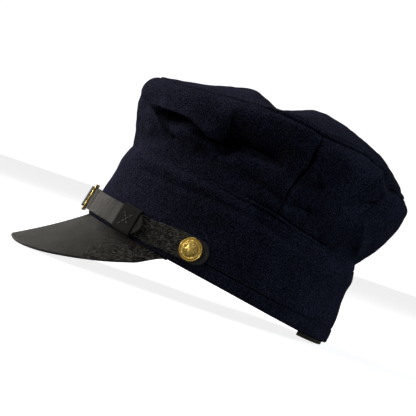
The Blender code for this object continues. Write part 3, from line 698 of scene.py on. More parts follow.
def sheet_faces(outer, inward, thickness, stride=4, rounded=(False, False), closed=False, arc=5):
    """Points and faces of a closed sheet: a fine outer grid of rows and columns, an inner one with
    every so many rows, and plain or rounded edges between them along the first and last row."""
    rows, columns = outer.shape[:2]
    thick = thickness if np.ndim(thickness) else np.full(outer.shape[:2], thickness)
    kept = np.arange(0, rows, stride)
    assert kept[-1] == rows - 1
    inner = (outer + inward * thick[..., None])[kept]

    def edge(row, beyond):
        if not rounded[0 if row == 0 else 1]:
            return np.zeros((0, columns, 3))
        half = thick[row][:, None] / 2
        into = inward[row]
        out = outer[row] - outer[beyond]
        out = unit(out - into * np.sum(out * into, axis=-1, keepdims=True))
        centre = outer[row] + into * half
        angles = np.linspace(0, math.pi, arc + 2)[1:-1]
        return np.array([centre - into * half * math.cos(a) + out * half * math.sin(a) for a in angles])

    high = edge(rows - 1, rows - 2)
    low = edge(0, 1)[::-1]
    loop = np.concatenate([outer, high, inner[::-1], low])
    count = len(loop)
    index = np.arange(count * columns).reshape(count, columns)
    below, above = index, np.roll(index, -1, axis=0)
    if closed:
        quads = np.stack([below, np.roll(below, -1, 1), np.roll(above, -1, 1), above], axis=-1)
    else:
        quads = np.stack([below[:, :-1], below[:, 1:], above[:, 1:], above[:, :-1]], axis=-1)
    faces = quads.reshape(-1, 4).tolist()
    if not closed:
        inner_first = rows + len(high) + len(kept) - 1
        caps = [
            list(range(kept[k], kept[k + 1] + 1)) + [inner_first - k - 1, inner_first - k]
            for k in range(len(kept) - 1)
        ]
        if len(high):
            caps.append(list(range(rows - 1, rows + len(high) + 1)))
        if len(low):
            caps.append(list(range(inner_first, inner_first + len(low) + 1)) + [0])
        for cap in caps:
            faces.append([int(index[row, 0]) for row in reversed(cap)])
            faces.append([int(index[row, -1]) for row in cap])
    return loop.reshape(-1, 3), faces


# Materials
WOOL_DARK = (0.0006, 0.0007, 0.0016)
WOOL_LIGHT = (0.0348, 0.0360, 0.0665)
WOOL_FLECK = (0.055, 0.055, 0.065)
WOOL_SHEEN = (0.62, 0.64, 0.90)
WRINKLE_STRETCH = (2.35, 0.37, 2.35)
WRINKLE_SCALE = 560.0
# Lighter colour painted on the leather's wrinkle ridges: a painted highlight
WRINKLE_HIGHLIGHT = (0.130, 0.120, 0.105)
# Darker colour for matter leather: painted shade
LEATHER_SHADE = (0.0025, 0.0023, 0.0020)
YELLOW_BRASS = (0.95, 0.71, 0.20)
TARNISHED_BRASS = (0.228, 0.1349, 0.024)


def fill(tree, socket, value):
    """Links the socket to another one, or gives it a value of its own."""
    if isinstance(value, bpy.types.NodeSocket):
        tree.links.new(value, socket)
    elif socket.type == "RGBA":
        socket.default_value = (*value, 1.0)
    else:
        socket.default_value = value


def fill_named(tree, node, **inputs):
    """Fills the node's inputs by name, with _ for a space."""
    for name, value in inputs.items():
        fill(tree, node.inputs[name.replace("_", " ")], value)


def add_node(tree, kind, settings=None, in_order=(), **inputs):
    """A node with its settings, and its inputs filled in order or by name."""
    node = tree.nodes.new("ShaderNode" + kind)
    for name, value in (settings or {}).items():
        setattr(node, name, value)
    for socket, value in zip(node.inputs, in_order):
        fill(tree, socket, value)
    fill_named(tree, node, **inputs)
    return node


def noise(tree, vector, scale, detail=3.0, roughness=0.55):
    """Clouds of this scale per metre, about 0 to 1."""
    made = add_node(tree, "TexNoise", Vector=vector, Scale=scale, Detail=detail, Roughness=roughness)
    return made.outputs["Fac"]


def ramp(tree, value, low, high, low_to=0.0, high_to=1.0):
    """The value, run from low and high to the other two numbers and kept between them."""
    return add_node(tree, "MapRange", None, (value, low, high, low_to, high_to)).outputs["Result"]


def maths(tree, operation, one, two=0.0):
    """A sum, product or the like of two values."""
    return add_node(tree, "Math", {"operation": operation}, (one, two)).outputs[0]


def blended(tree, share, one, two):
    """The first colour at share 0, to the second at share 1."""
    node = add_node(tree, "Mix", {"data_type": "RGBA"})
    for index, value in ((0, share), (6, one), (7, two)):
        fill(tree, node.inputs[index], value)
    return node.outputs[2]


def bumped(tree, height, distance, strength, normal=None):
    """A bump of this height, on top of an earlier one."""
    node = add_node(tree, "Bump", Height=height, Distance=distance, Strength=strength)
    if normal:
        fill_named(tree, node, Normal=normal)
    return node.outputs["Normal"]


def painted_value(tree, name):
    """What was painted on the piece under this name."""
    return add_node(tree, "Attribute", {"attribute_name": name}).outputs["Fac"]


def new_material(name):
    """A material, its node tree, its shader, and the place on the piece that its textures read."""
    made = bpy.data.materials.new(name)
    made.use_nodes = True
    tree = made.node_tree
    return made, tree, tree.nodes["Principled BSDF"], add_node(tree, "TexCoord").outputs["Object"]


def wool(name):
    """Milled navy wool: a matted nap of short fibres, mottled dark and light, with pale flecks, and
    darkened by painted shade where the cloth lies deep in a fold or a seam."""
    made, tree, shader, place = new_material(name)
    nap = noise(tree, place, 2200.0, detail=3.0, roughness=0.6)
    matted = noise(tree, place, 1150.0, detail=2.0, roughness=0.5)
    grain = ramp(tree, maths(tree, "MULTIPLY", nap, matted), 0.17, 0.37)
    tone = blended(tree, grain, WOOL_DARK, WOOL_LIGHT)
    cloudy = ramp(tree, noise(tree, place, 40.0, detail=4.0, roughness=0.6), 0.3, 0.7, 0.80, 1.20)
    # Painted shade: the colour darkens as far as the cloth is painted as lying deep in a fold or a seam
    shaded = maths(tree, "MULTIPLY", painted_value(tree, "shade_and_tarnish"), 0.93)
    shade = maths(tree, "MULTIPLY", cloudy, maths(tree, "SUBTRACT", 1.0, shaded))
    tinted = add_node(tree, "VectorMath", {"operation": "SCALE"}, (tone,), Scale=shade)
    fleck = ramp(tree, noise(tree, place, 700.0, detail=2.0, roughness=0.7), 0.74, 0.80)
    soft = bumped(tree, matted, distance=0.0012, strength=0.8)
    fine = bumped(tree, nap, 0.0006, 0.8, normal=soft)
    fibre = add_node(
        tree, "TexWave", {"bands_direction": "DIAGONAL"},
        Vector=place, Scale=330.0, Distortion=14.0, Detail=3.0, Detail_Scale=2.4,
    )
    fill_named(
        tree, shader,
        Base_Color=blended(tree, fleck, tinted.outputs[0], WOOL_FLECK),
        Roughness=0.96,
        Specular_IOR_Level=0.01,
        Sheen_Weight=0.02,
        Sheen_Roughness=0.42,
        Sheen_Tint=WOOL_SHEEN,
        Normal=bumped(tree, fibre.outputs["Fac"], 0.00025, 0.35, normal=fine),
    )
    return made


def leather(name, dark, light, roughness, grain_scale, grain_depth, specular=0.5, crinkle=0.0):
    """Grained leather: pebbled cells with fine pores and painted shade in the grooves between them,
    rubbed a little unevenly. Where it can crinkle, it is wrinkled along the cap as far as it is painted
    crinkled, with painted highlights on the wrinkle ridges, and it is matter, and darker with painted
    shade, as far as it is painted for that."""
    made, tree, shader, place = new_material(name)
    cells = add_node(
        tree, "TexVoronoi", {"feature": "DISTANCE_TO_EDGE"}, Vector=place, Scale=grain_scale, Randomness=1.0
    )
    pebble = ramp(tree, cells.outputs["Distance"], 0.0, 0.22)
    pores = noise(tree, place, grain_scale * 2.6, detail=3.0, roughness=0.6)
    rubbed = noise(tree, place, 60.0, detail=4.0, roughness=0.6)
    tone = blended(tree, ramp(tree, rubbed, 0.3, 0.72), dark, light)
    # Painted shade: darker in the grooves between the pebbles
    colour = blended(tree, pebble, tuple(part * 0.55 for part in dark), tone)
    gloss = ramp(tree, rubbed, 0.3, 0.7, roughness + 0.07, roughness - 0.05)
    pebbled = bumped(tree, pebble, distance=grain_depth, strength=0.55)
    surface = bumped(tree, pores, grain_depth * 0.6, 0.5, normal=pebbled)
    if crinkle:
        worn = painted_value(tree, "crinkled")
        drawn = add_node(tree, "Mapping", Vector=place, Scale=WRINKLE_STRETCH).outputs["Vector"]
        wrinkle = noise(tree, drawn, WRINKLE_SCALE)
        ridge = maths(tree, "ABSOLUTE", maths(tree, "SUBTRACT", wrinkle, 0.5))
        surface = bumped(tree, maths(tree, "MULTIPLY", ridge, worn), crinkle, 0.9, normal=surface)
        gloss = maths(tree, "SUBTRACT", gloss, maths(tree, "MULTIPLY", worn, 0.12))
        # Painted highlights: the wrinkle ridges are painted lighter, standing for glints on crinkled leather
        painted_highlight = maths(tree, "MULTIPLY", ramp(tree, wrinkle, 0.49, 0.60), worn)
        colour = blended(tree, painted_highlight, colour, WRINKLE_HIGHLIGHT)
        # Where painted for it, the leather is matter, and darker with painted shade
        matte_and_shade = painted_value(tree, "matte_and_shade")
        gloss = maths(tree, "ADD", gloss, maths(tree, "MULTIPLY", matte_and_shade, 0.40))
        colour = blended(tree, maths(tree, "MULTIPLY", matte_and_shade, 0.6), colour, LEATHER_SHADE)
    fill_named(
        tree, shader, Base_Color=colour, Roughness=gloss, Specular_IOR_Level=specular, Normal=surface
    )
    return made


def brassy(name):
    """Yellow brass with fine scratches, and tarnish in its low places."""
    made, tree, shader, place = new_material(name)
    tarnish = noise(tree, place, 420.0, detail=4.0, roughness=0.65)
    low = maths(tree, "MULTIPLY", ramp(tree, tarnish, 0.3, 0.6), painted_value(tree, "shade_and_tarnish"))
    scratch = noise(tree, place, 1500.0, detail=2.0, roughness=0.5)
    fill_named(
        tree, shader,
        Base_Color=blended(tree, low, YELLOW_BRASS, TARNISHED_BRASS),
        Roughness=ramp(tree, tarnish, 0.3, 0.7, 0.22, 0.38),
        Metallic=1.0,
        Normal=bumped(tree, scratch, distance=0.00006, strength=0.4),
    )
    return made


def thread(name, colour):
    """Twisted sewing thread."""
    made, tree, shader, place = new_material(name)
    twist = add_node(
        tree, "TexWave", {"bands_direction": "DIAGONAL"}, Vector=place, Scale=900.0, Distortion=1.0
    ).outputs["Fac"]
    # Painted shade: the colour is darker in the grooves of the twist
    fill_named(
        tree, shader,
        Base_Color=blended(tree, twist, tuple(part * 0.55 for part in colour), colour),
        Roughness=0.7,
        Normal=bumped(tree, twist, distance=0.0001, strength=0.6),
    )
    return made


CROWN_WOOL = wool("crown_wool")
BAND_WOOL = wool("band_wool")
PEAK_LEATHER = leather(
    "peak_leather", (0.0050, 0.0046, 0.0040), (0.0110, 0.0098, 0.0082),
    roughness=0.36, grain_scale=900.0, grain_depth=0.00026, specular=0.33, crinkle=0.0085,
)
STRAP_LEATHER = leather(
    "strap_leather", (0.0060, 0.0054, 0.0045), (0.0120, 0.0106, 0.0086),
    roughness=0.36, grain_scale=1100.0, grain_depth=0.00022, specular=0.36, crinkle=0.0060,
)
SWEAT_LEATHER = leather(
    "sweat_leather", (0.008, 0.008, 0.0095), (0.014, 0.014, 0.016),
    roughness=0.62, grain_scale=1200.0, grain_depth=0.00015,
)
BRASS = brassy("brass")
NAVY_THREAD = thread("navy_thread", (0.012, 0.013, 0.024))
GREY_THREAD = thread("grey_thread", (0.15, 0.14, 0.125))


# Crown panels and band
def crown_top():
    """The top panel, a square of rings laid on the disc, its edge in the top seam."""
    line = 2 * even(200) - 1
    first, second = np.meshgrid(line, line)
    wide = np.abs(first) > np.abs(second)
    major = np.where(wide, first, second)
    minor = np.where(wide, second, first)
    ratio = minor / np.where(np.abs(major) < 1e-9, 1.0, major)
    angle = np.where(wide, math.pi / 4 * ratio, math.pi / 2 - math.pi / 4 * ratio)
    ring = np.abs(major)
    spread = ring + 0.5 * ring * (1 - ring)
    across = np.sign(major) * np.cos(angle)
    along = np.sign(major) * np.sin(angle)
    turn = np.degrees(np.arctan2(across, -along))
    _, seam = eased(SEWN_ROWS, from_front(turn), True)
    level = 2 - (2 - seam) * spread
    points, normal, shade_and_tarnish = sewn(turn, level, on_top=True)
    cloth = sheet_faces(points, -normal, CLOTH_THICKNESS)
    made = build("crown_top_cloth", *cloth, CROWN_WOOL, "crown_top", "crown_wool")
    # Painted shade in its folds and seams, read by its wool
    painted(made, "shade_and_tarnish", shade_and_tarnish)


def side_panel(name, node, turn_from, turn_to, columns):
    """A side panel between the band seam, the top seam and the two side seams."""
    first, share = np.meshgrid(even(columns, 0.35), even(150, 0.5))
    turn = turn_from + (turn_to - turn_from) * first
    low_seam, top_seam = eased(SEWN_ROWS, from_front(turn), True)
    level = low_seam + (top_seam - low_seam) * share
    middle = (turn_from + turn_to) / 2
    outward = np.where(turn > middle, 1, -1) * (1 if middle == 0 else -1)
    bent = (side_seam(level) - SIDE_SEAM_TURN) * outward * np.abs(2 * first - 1) ** 6
    inside = 1e-6 * (turn_to - turn_from) * np.where(turn < middle, 1, -1)
    turn = turn + bent + inside
    points, normal, shade_and_tarnish = sewn(turn, level, on_top=False)
    cloth = sheet_faces(points, -normal, CLOTH_THICKNESS, stride=10)
    made = build(name, *cloth, CROWN_WOOL, node, "crown_wool")
    # Painted shade in its folds and seams, read by its wool
    painted(made, "shade_and_tarnish", shade_and_tarnish)


def band_cloth():
    """The band, its lower edge turned up and stitched, its upper edge in the crown seam."""
    columns = 700
    turn, share = np.meshgrid(np.arange(columns) * 360.0 / columns, even(80, 0.6))
    low_seam, _ = eased(SEWN_ROWS, from_front(turn), True)
    bottom = -1 + BAND_THICKNESS / 2 / BAND_HEIGHT
    level = bottom + (low_seam - bottom) * share - 1e-7
    points, normal, shade_and_tarnish = sewn(turn, level, on_top=False)
    cloth = sheet_faces(points, -normal, BAND_THICKNESS, rounded=(True, False), closed=True)
    made = build("band_cloth", *cloth, BAND_WOOL, "band", "band_wool")
    # Painted shade in its folds and seams and along its hem line, read by its wool
    painted(made, "shade_and_tarnish", shade_and_tarnish)


crown_top()
side_panel("crown_front_cloth", "crown_front", -SIDE_SEAM_TURN, SIDE_SEAM_TURN, 560)
side_panel("crown_back_cloth", "crown_back", SIDE_SEAM_TURN, 360 - SIDE_SEAM_TURN, 330)
band_cloth()


def lengths_along(points):
    """Length run from the first point to each of them."""
    return np.concatenate([[0.0], np.cumsum(np.linalg.norm(np.diff(points, axis=0), axis=1))])


# Chin strap: distances run along the band at strap height from the front, left positive
ARC_TURNS = np.arange(361) * 0.5
ARC_POINTS = band(ARC_TURNS, np.full(361, STRAP_HEIGHT / BAND_HEIGHT))
ARC_LENGTHS = lengths_along(ARC_POINTS)


def level_out(turn, share):
    """Level direction away from the band."""
    run = band(turn + 0.5, share) - band(turn - 0.5, share)
    return unit(np.stack([run[..., 1], -run[..., 0], 0 * run[..., 0]], axis=-1))


def beside_band(distance, off, height):
    """Points at this distance along the band, this far off its face, this high."""
    turn = np.sign(distance) * np.interp(np.abs(distance), ARC_LENGTHS, ARC_TURNS)
    share = height / BAND_HEIGHT
    return band(turn, share) + level_out(turn, share) * np.asarray(off)[..., None]


def strap_middle(distance):
    """Height of the strap's middle line, which climbs to the button at each side."""
    climb = softened(np.abs(distance), KEEPER_PLACE + KEEPER_LENGTH / 2, BUTTON_PLACE)
    return STRAP_HEIGHT + STRAP_RISE * climb


def climbing(low, high, steps):
    """Path rows by the buckle, each at a share of its half width and a share of the way up."""
    return [(HALF_BUCKLE * place, low + (high - low) * share) for place, share in steps]


LAYER = STRAP_THICKNESS + STRAP_GAP
FIRST_LAYER = STRAP_GAP + STRAP_THICKNESS / 2
KEEPER_LAYER = FIRST_LAYER + KEEPER_THICKNESS + STRAP_GAP
SECOND_LAYER = FIRST_LAYER + LAYER
THIRD_LAYER = SECOND_LAYER + LAYER
WRAP = STRAP_GAP + STRAP_THICKNESS / 2
CORNER = WRAP * math.sqrt(0.5)
BAR_FRONT = BUCKLE_STANDOFF + BUCKLE_THICKNESS / 2 + WRAP
BAR_BACK = BUCKLE_STANDOFF - BUCKLE_THICKNESS / 2 - WRAP
OVER_BAR = BAR_FRONT + LAYER
BUTTON_END = BUTTON_PLACE + STRAP_END_REACH
KEEPER_FRONT = KEEPER_PLACE - KEEPER_LENGTH / 2
KEEPER_BACK = KEEPER_PLACE + KEEPER_LENGTH / 2
KEEPER_FACE = KEEPER_LAYER + LAYER + STRAP_THICKNESS / 2 + STRAP_GAP + KEEPER_THICKNESS
HALF_BUCKLE = BUCKLE_WIDTH / 2
HALF_BAR = BUCKLE_BAR / 2

# The left strap passes back round the buckle's bar. Columns: distance, distance off the band.
LEFT_PATH = (
    (BUTTON_END, FIRST_LAYER),
    (KEEPER_BACK + STRAP_LIFT, FIRST_LAYER),
    (KEEPER_BACK, KEEPER_LAYER),
    (KEEPER_FRONT, KEEPER_LAYER),
    (KEEPER_FRONT - STRAP_LIFT, FIRST_LAYER),
    (HALF_BUCKLE * 2.00, FIRST_LAYER),
    (HALF_BUCKLE * 1.55, SECOND_LAYER),
    (HALF_BUCKLE * 0.80, SECOND_LAYER),
    *climbing(SECOND_LAYER, BAR_FRONT, ((0.64, 0.07), (0.50, 0.32), (0.36, 0.63), (0.22, 0.90))),
    (HALF_BUCKLE * 0.11, BAR_FRONT),
    (-HALF_BAR, BAR_FRONT),
    (-HALF_BAR - CORNER, BUCKLE_STANDOFF + BUCKLE_THICKNESS / 2 + CORNER),
    (-HALF_BAR - WRAP, BUCKLE_STANDOFF + BUCKLE_THICKNESS / 2),
    (-HALF_BAR - WRAP, BUCKLE_STANDOFF - BUCKLE_THICKNESS / 2),
    (-HALF_BAR - CORNER, BUCKLE_STANDOFF - BUCKLE_THICKNESS / 2 - CORNER),
    (-HALF_BAR, BAR_BACK),
    *climbing(FIRST_LAYER, BAR_BACK, ((0.10, 0.92), (0.26, 0.55), (0.42, 0.10))),
    (HALF_BUCKLE * 0.55, FIRST_LAYER),
    (HALF_BUCKLE * 1.40, FIRST_LAYER),
)

# The right strap passes through the buckle and on through the keeper. Columns as above.
RIGHT_PATH = (
    (-BUTTON_END, FIRST_LAYER),
    (-HALF_BUCKLE * 2.20, FIRST_LAYER),
    *climbing(FIRST_LAYER, THIRD_LAYER, ((-1.20, 0.60), (-0.84, 0.85))),
    *climbing(THIRD_LAYER, OVER_BAR, ((-0.60, 0.25), (-0.40, 0.62), (-0.24, 0.90))),
    (-HALF_BUCKLE * 0.10, OVER_BAR),
    (HALF_BUCKLE * 0.13, OVER_BAR),
    *climbing(THIRD_LAYER, OVER_BAR, ((0.29, 0.86), (0.46, 0.56), (0.60, 0.24), (0.73, 0.05))),
    (HALF_BUCKLE * 0.88, THIRD_LAYER),
    (HALF_BUCKLE * 1.55, THIRD_LAYER),
    (HALF_BUCKLE * 2.00, SECOND_LAYER),
    (KEEPER_FRONT - STRAP_LIFT, SECOND_LAYER),
    (KEEPER_FRONT, KEEPER_LAYER + LAYER),
    (KEEPER_BACK + 0.35 * POINT_LENGTH, KEEPER_LAYER + LAYER + 0.1 * POINT_CURL),
    (KEEPER_BACK + POINT_LENGTH, KEEPER_LAYER + LAYER + POINT_CURL),
)


def path_rows(path):
    """The path's points, each after its length along the path."""
    return np.column_stack([lengths_along(path), path])


def button_end_half(length):
    """Half width of a strap near its rounded end under the button."""
    wide = BUTTON_END_WIDTH / 2
    near = np.maximum(wide - length, 0.0)
    rounded = np.sqrt(np.maximum(wide * wide - near * near, 0.0))
    back = softened(length, BUTTON_END_WIDTH * 1.4, BUTTON_END_WIDTH * 2.8)
    return np.maximum(rounded, wide * 0.12) + (STRAP_WIDTH / 2 - wide) * back


def pointed_half(length, full):
    """Half width near the pointed end of the strap, slightly blunted at its tip."""
    left = np.clip((full - length) / POINT_LENGTH, 0.0, 1.0)
    return STRAP_WIDTH / 2 * (0.14 + 0.86 * left**0.86)


def strap(name, path, pointed, creases):
    """A strap standing on its edge along its path, with rounded edges and worn creases. The pointed
    one is matter and darker with painted shade from the keeper to its tip, and the other one crinkled,
    with painted highlights on its wrinkles, between the keeper and its button."""
    rows = path_rows(path)
    full = rows[-1, 0]
    length = np.linspace(0.0, full, 620)
    spot = eased(rows, length).T
    place = spot[:, 0]
    away = np.gradient(spot, length, axis=0)
    away = unit(np.stack([-away[:, 1], away[:, 0]], axis=1))
    half = button_end_half(length)
    if pointed:
        half = np.minimum(half, pointed_half(length, full))
    side = np.linspace(-1.0, 1.0, 25) * (1 - STRAP_THICKNESS / STRAP_WIDTH)
    outward = 1.0 if path[0][0] < 0 else -1.0
    sides = []
    for depth in (0.5, -0.5):
        off = spot + away * outward * depth * STRAP_THICKNESS
        distance, side_grid = np.meshgrid(off[:, 0], side)
        lift = np.broadcast_to(off[:, 1], distance.shape)
        sides.append(beside_band(distance, lift, strap_middle(distance) + half[None, :] * side_grid))
    outer, under = sides
    thick = np.linalg.norm(under - outer, axis=-1)
    inward = (under - outer) / thick[..., None]

    # Fine grain, creases across, and a line pressed along both edges
    shift = 0.02 * rippled(outer, 0.012, 30) + 0.012 * rippled(outer, 0.004, 31)
    unevenness = 0.5 * MM * rippled(outer, 0.006, 40)
    for crease_place, reach, depth, slant in creases:
        run = place[None, :] - crease_place - slant * side[:, None] * STRAP_WIDTH
        shift -= depth * bell(run + unevenness, reach * MM)
    shift -= 0.07 * bell(np.abs(side)[:, None] - 0.84, 0.045)
    shift = np.clip(shift * MM, -0.0004, 0.00025)
    worn = outer - inward * shift[..., None]
    sheet = sheet_faces(worn, inward, thick, rounded=(True, True))
    made = build(name + "_leather", *sheet, STRAP_LEATHER, name, "strap_leather", 45.0)
    if pointed:
        painted(made, "crinkled", 0.08, repeated=True)
        # Matter, and darker with painted shade, from the keeper on to the tip
        painted(made, "matte_and_shade", 0.55 * softened(place, KEEPER_FRONT, KEEPER_BACK), repeated=True)
    else:
        # Crinkled behind the keeper, where the leather also gets painted highlights on its wrinkle ridges
        by_keeper = softened(place, KEEPER_BACK, KEEPER_BACK + 3 * MM)
        by_button = softened(place, BUTTON_PLACE - 12 * MM, BUTTON_PLACE - 3 * MM)
        painted(made, "crinkled", 0.08 + 0.92 * (by_keeper * (1 - by_button)), repeated=True)


# Creases across the strap. Columns: distance, width and depth in millimetres, slant.
LEFT_CREASES = (
    (0.0835, 0.7, 0.20, 0.10),
    (0.0868, 0.9, 0.26, -0.14),
    (0.0902, 0.6, 0.16, 0.20),
    (0.0936, 1.1, 0.28, -0.06),
    (0.0975, 0.7, 0.18, 0.16),
    (0.1010, 0.9, 0.22, -0.18),
    (0.1052, 0.8, 0.14, 0.10),
    (0.0560, 2.4, 0.05, 0.05),
    (0.0300, 2.6, 0.05, -0.05),
)
RIGHT_CREASES = (
    (0.0440, 1.4, 0.09, 0.06),
    (0.0280, 1.3, 0.10, -0.08),
    (-0.0260, 1.5, 0.10, 0.06),
    (-0.0620, 1.2, 0.12, -0.10),
    (-0.0900, 1.2, 0.14, 0.12),
    (-0.1010, 0.9, 0.12, -0.12),
)


def keeper():
    """The leather loop round both straps."""
    low = STRAP_GAP
    high = KEEPER_FACE
    half = STRAP_WIDTH / 2 + KEEPER_MARGIN + KEEPER_THICKNESS
    corner = (high - low) / 2
    straight = 2 * (half - corner)
    bend = math.pi * corner
    run = np.linspace(0, 2 * straight + 2 * bend, 150, endpoint=False)
    on_front = run < straight
    on_top = (run >= straight) & (run < straight + bend)
    on_back = (run >= straight + bend) & (run < 2 * straight + bend)
    up = (run - straight) / corner
    down = (run - 2 * straight - bend) / corner
    conditions = [on_front, on_top, on_back]
    height = np.select(
        conditions,
        [run - straight / 2, straight / 2 + corner * np.sin(up), straight / 2 - (run - straight - bend)],
        -straight / 2 - corner * np.sin(down),
    )
    off = np.select(
        conditions,
        [np.full(run.shape, high), low + corner + corner * np.cos(up), np.full(run.shape, low)],
        low + corner - corner * np.cos(down),
    )
    inset = KEEPER_THICKNESS / 2
    along = KEEPER_PLACE + np.linspace(-1, 1, 25) * (KEEPER_LENGTH / 2 - inset)
    height, distance = np.meshgrid(height, along)
    off = np.broadcast_to(off, height.shape)
    points = beside_band(distance, off, strap_middle(distance) + height)
    one = np.roll(points, -1, 1) - np.roll(points, 1, 1)
    two = np.gradient(points, axis=0)
    normal = unit(np.cross(two, one))
    centre = beside_band(distance, np.full(off.shape, (low + high) / 2), strap_middle(distance))
    outward = np.sign(np.sum(normal * (points - centre), axis=-1, keepdims=True))
    normal = normal * outward
    front = softened(off, (low + high) / 2, high)
    push = 0.06 * rippled(points, 0.006, 50)
    push -= front * 0.10 * bell(np.abs(distance - KEEPER_PLACE) - KEEPER_LENGTH * 0.40, 0.30 * MM)
    points = points + normal * (push * MM)[..., None]
    sheet = sheet_faces(points, -normal, KEEPER_THICKNESS, rounded=(True, True), closed=True)
    made = build("keeper_leather", *sheet, STRAP_LEATHER, "keeper", "strap_leather", 45.0)
    # Matter all over, and darker with painted shade
    painted(made, "matte_and_shade", 1.0, repeated=True)


def stitches(name, spots, normals, material, radius, gap=0.22, sink=0.35):
    """Thread laid between each two spots, dipping into the cloth at its ends."""
    points, faces = [], []
    ring = 6
    steps = 5
    for start, end, out in zip(spots[:-1], spots[1:], normals):
        run = end - start
        length = np.linalg.norm(run)
        way = run / length
        out = unit(out - way * (out @ way))
        side = np.cross(way, out)
        base = len(points)
        for step in range(steps + 1):
            share = step / steps
            place = start + run * (gap / 2 + (1 - gap) * share)
            bulge = math.sin(math.pi * share)
            centre = place + out * radius * (1.7 * bulge**0.6 - 1.0 - sink)
            thick = radius * (0.35 + 0.65 * bulge**0.4)
            for turn in range(ring):
                angle = 2 * math.pi * turn / ring
                points.append(centre + (side * math.cos(angle) + out * math.sin(angle)) * thick)
        for step in range(steps):
            for turn in range(ring):
                a = base + step * ring + turn
                b = base + step * ring + (turn + 1) % ring
                faces.append((a, b, b + ring, a + ring))
        faces.append(tuple(base + turn for turn in reversed(range(ring))))
        faces.append(tuple(base + steps * ring + turn for turn in range(ring)))
    build(name, np.array(points), faces, material)


# The keeper's crossed stitches. Each has two ends: place along the strap and height, in metres.
KEEPER_STITCHES = (
    ((-0.0040, -0.0062), (0.0040, 0.0048)),
    ((0.0036, -0.0030), (-0.0038, 0.0044)),
)


def keeper_cross():
    """Two crossed stitches of pale thread on the keeper's face."""
    for index, (low_end, high_end) in enumerate(np.array(KEEPER_STITCHES)):
        share = np.linspace(0, 1, 5)[:, None]
        spot = low_end * (1 - share) + high_end * share
        distance = KEEPER_PLACE + spot[:, 0]
        height = strap_middle(distance) + spot[:, 1]
        points = beside_band(distance, np.full(5, KEEPER_FACE + 0.00004), height)
        normals = points - beside_band(distance, np.zeros(5), height)
        name = f"keeper_stitch_{index + 1}"
        stitches(name, points, unit(normals), GREY_THREAD, KEEPER_THREAD_RADIUS, gap=0.10, sink=0.1)


def buckle():
    """The slide buckle: a flat frame with two windows, its edges well rounded."""
    middle, top, low = (
        beside_band(np.array(0.0), BUCKLE_STANDOFF, np.array(STRAP_HEIGHT + rise))
        for rise in (0.0, STRAP_WIDTH / 2, -STRAP_WIDTH / 2)
    )
    lean = -math.atan2(top[1] - low[1], top[2] - low[2])
    window_height = STRAP_WIDTH + 2 * STRAP_GAP
    window_width = (BUCKLE_WIDTH - 3 * BUCKLE_BAR) / 2
    widths = (0.0, BUCKLE_BAR, window_width, BUCKLE_BAR, window_width, BUCKLE_BAR)
    across = np.cumsum(widths) - BUCKLE_WIDTH / 2
    upright = (-BUCKLE_HEIGHT / 2, -window_height / 2, window_height / 2, BUCKLE_HEIGHT / 2)
    deep = (-BUCKLE_THICKNESS / 2, BUCKLE_THICKNESS / 2)
    points = [(x, y, z) for y in deep for z in upright for x in across]

    def at(face, row, column):
        return (face * len(upright) + row) * len(across) + column

    solid = {(row, column) for row in range(3) for column in range(5)} - {(1, 1), (1, 3)}
    faces = []
    for row, column in sorted(solid):
        corners = ((row, column), (row, column + 1), (row + 1, column + 1), (row + 1, column))
        beyond = ((row - 1, column), (row, column + 1), (row + 1, column), (row, column - 1))
        front = [at(0, *corner) for corner in corners]
        back = [at(1, *corner) for corner in corners]
        faces += [front, [back[0], *back[:0:-1]]]
        for k in range(4):
            after = (k + 1) % 4
            if beyond[k] not in solid:
                faces.append((front[k], back[k], back[after], front[after]))
    turn = np.array(Matrix.Rotation(lean, 3, "X"))
    made = build("buckle_brass", np.array(points) @ turn.T + middle, faces, BRASS, "buckle", "brass", 60.0)
    rounding = made.modifiers.new("rounded_edges", "BEVEL")
    rounding.width = BUCKLE_EDGE
    rounding.segments = 3
    rounding.limit_method = "ANGLE"
    rounding.angle_limit = math.radians(40)
    made.data.shade_smooth()
    painted(made, "shade_and_tarnish", 0.85, repeated=True)


def star_relief(angle, share):
    """How far each place of the button lies in the star, 0 to 1, and the star's height there."""
    point = np.degrees(angle) * STAR_POINTS / 180
    to_waist = np.abs((point - 0.5) % 2 - 1)
    edge = STAR_SHARE / (1 + to_waist * 1.25)
    inside = softened(edge - share, -0.012, 0.03)
    ridge = np.clip((edge - share) / 0.5, 0, 1) * (0.5 + 0.5 * (1 - to_waist))
    return inside, inside * STAR_RISE + ridge * inside * STAR_RIDGE


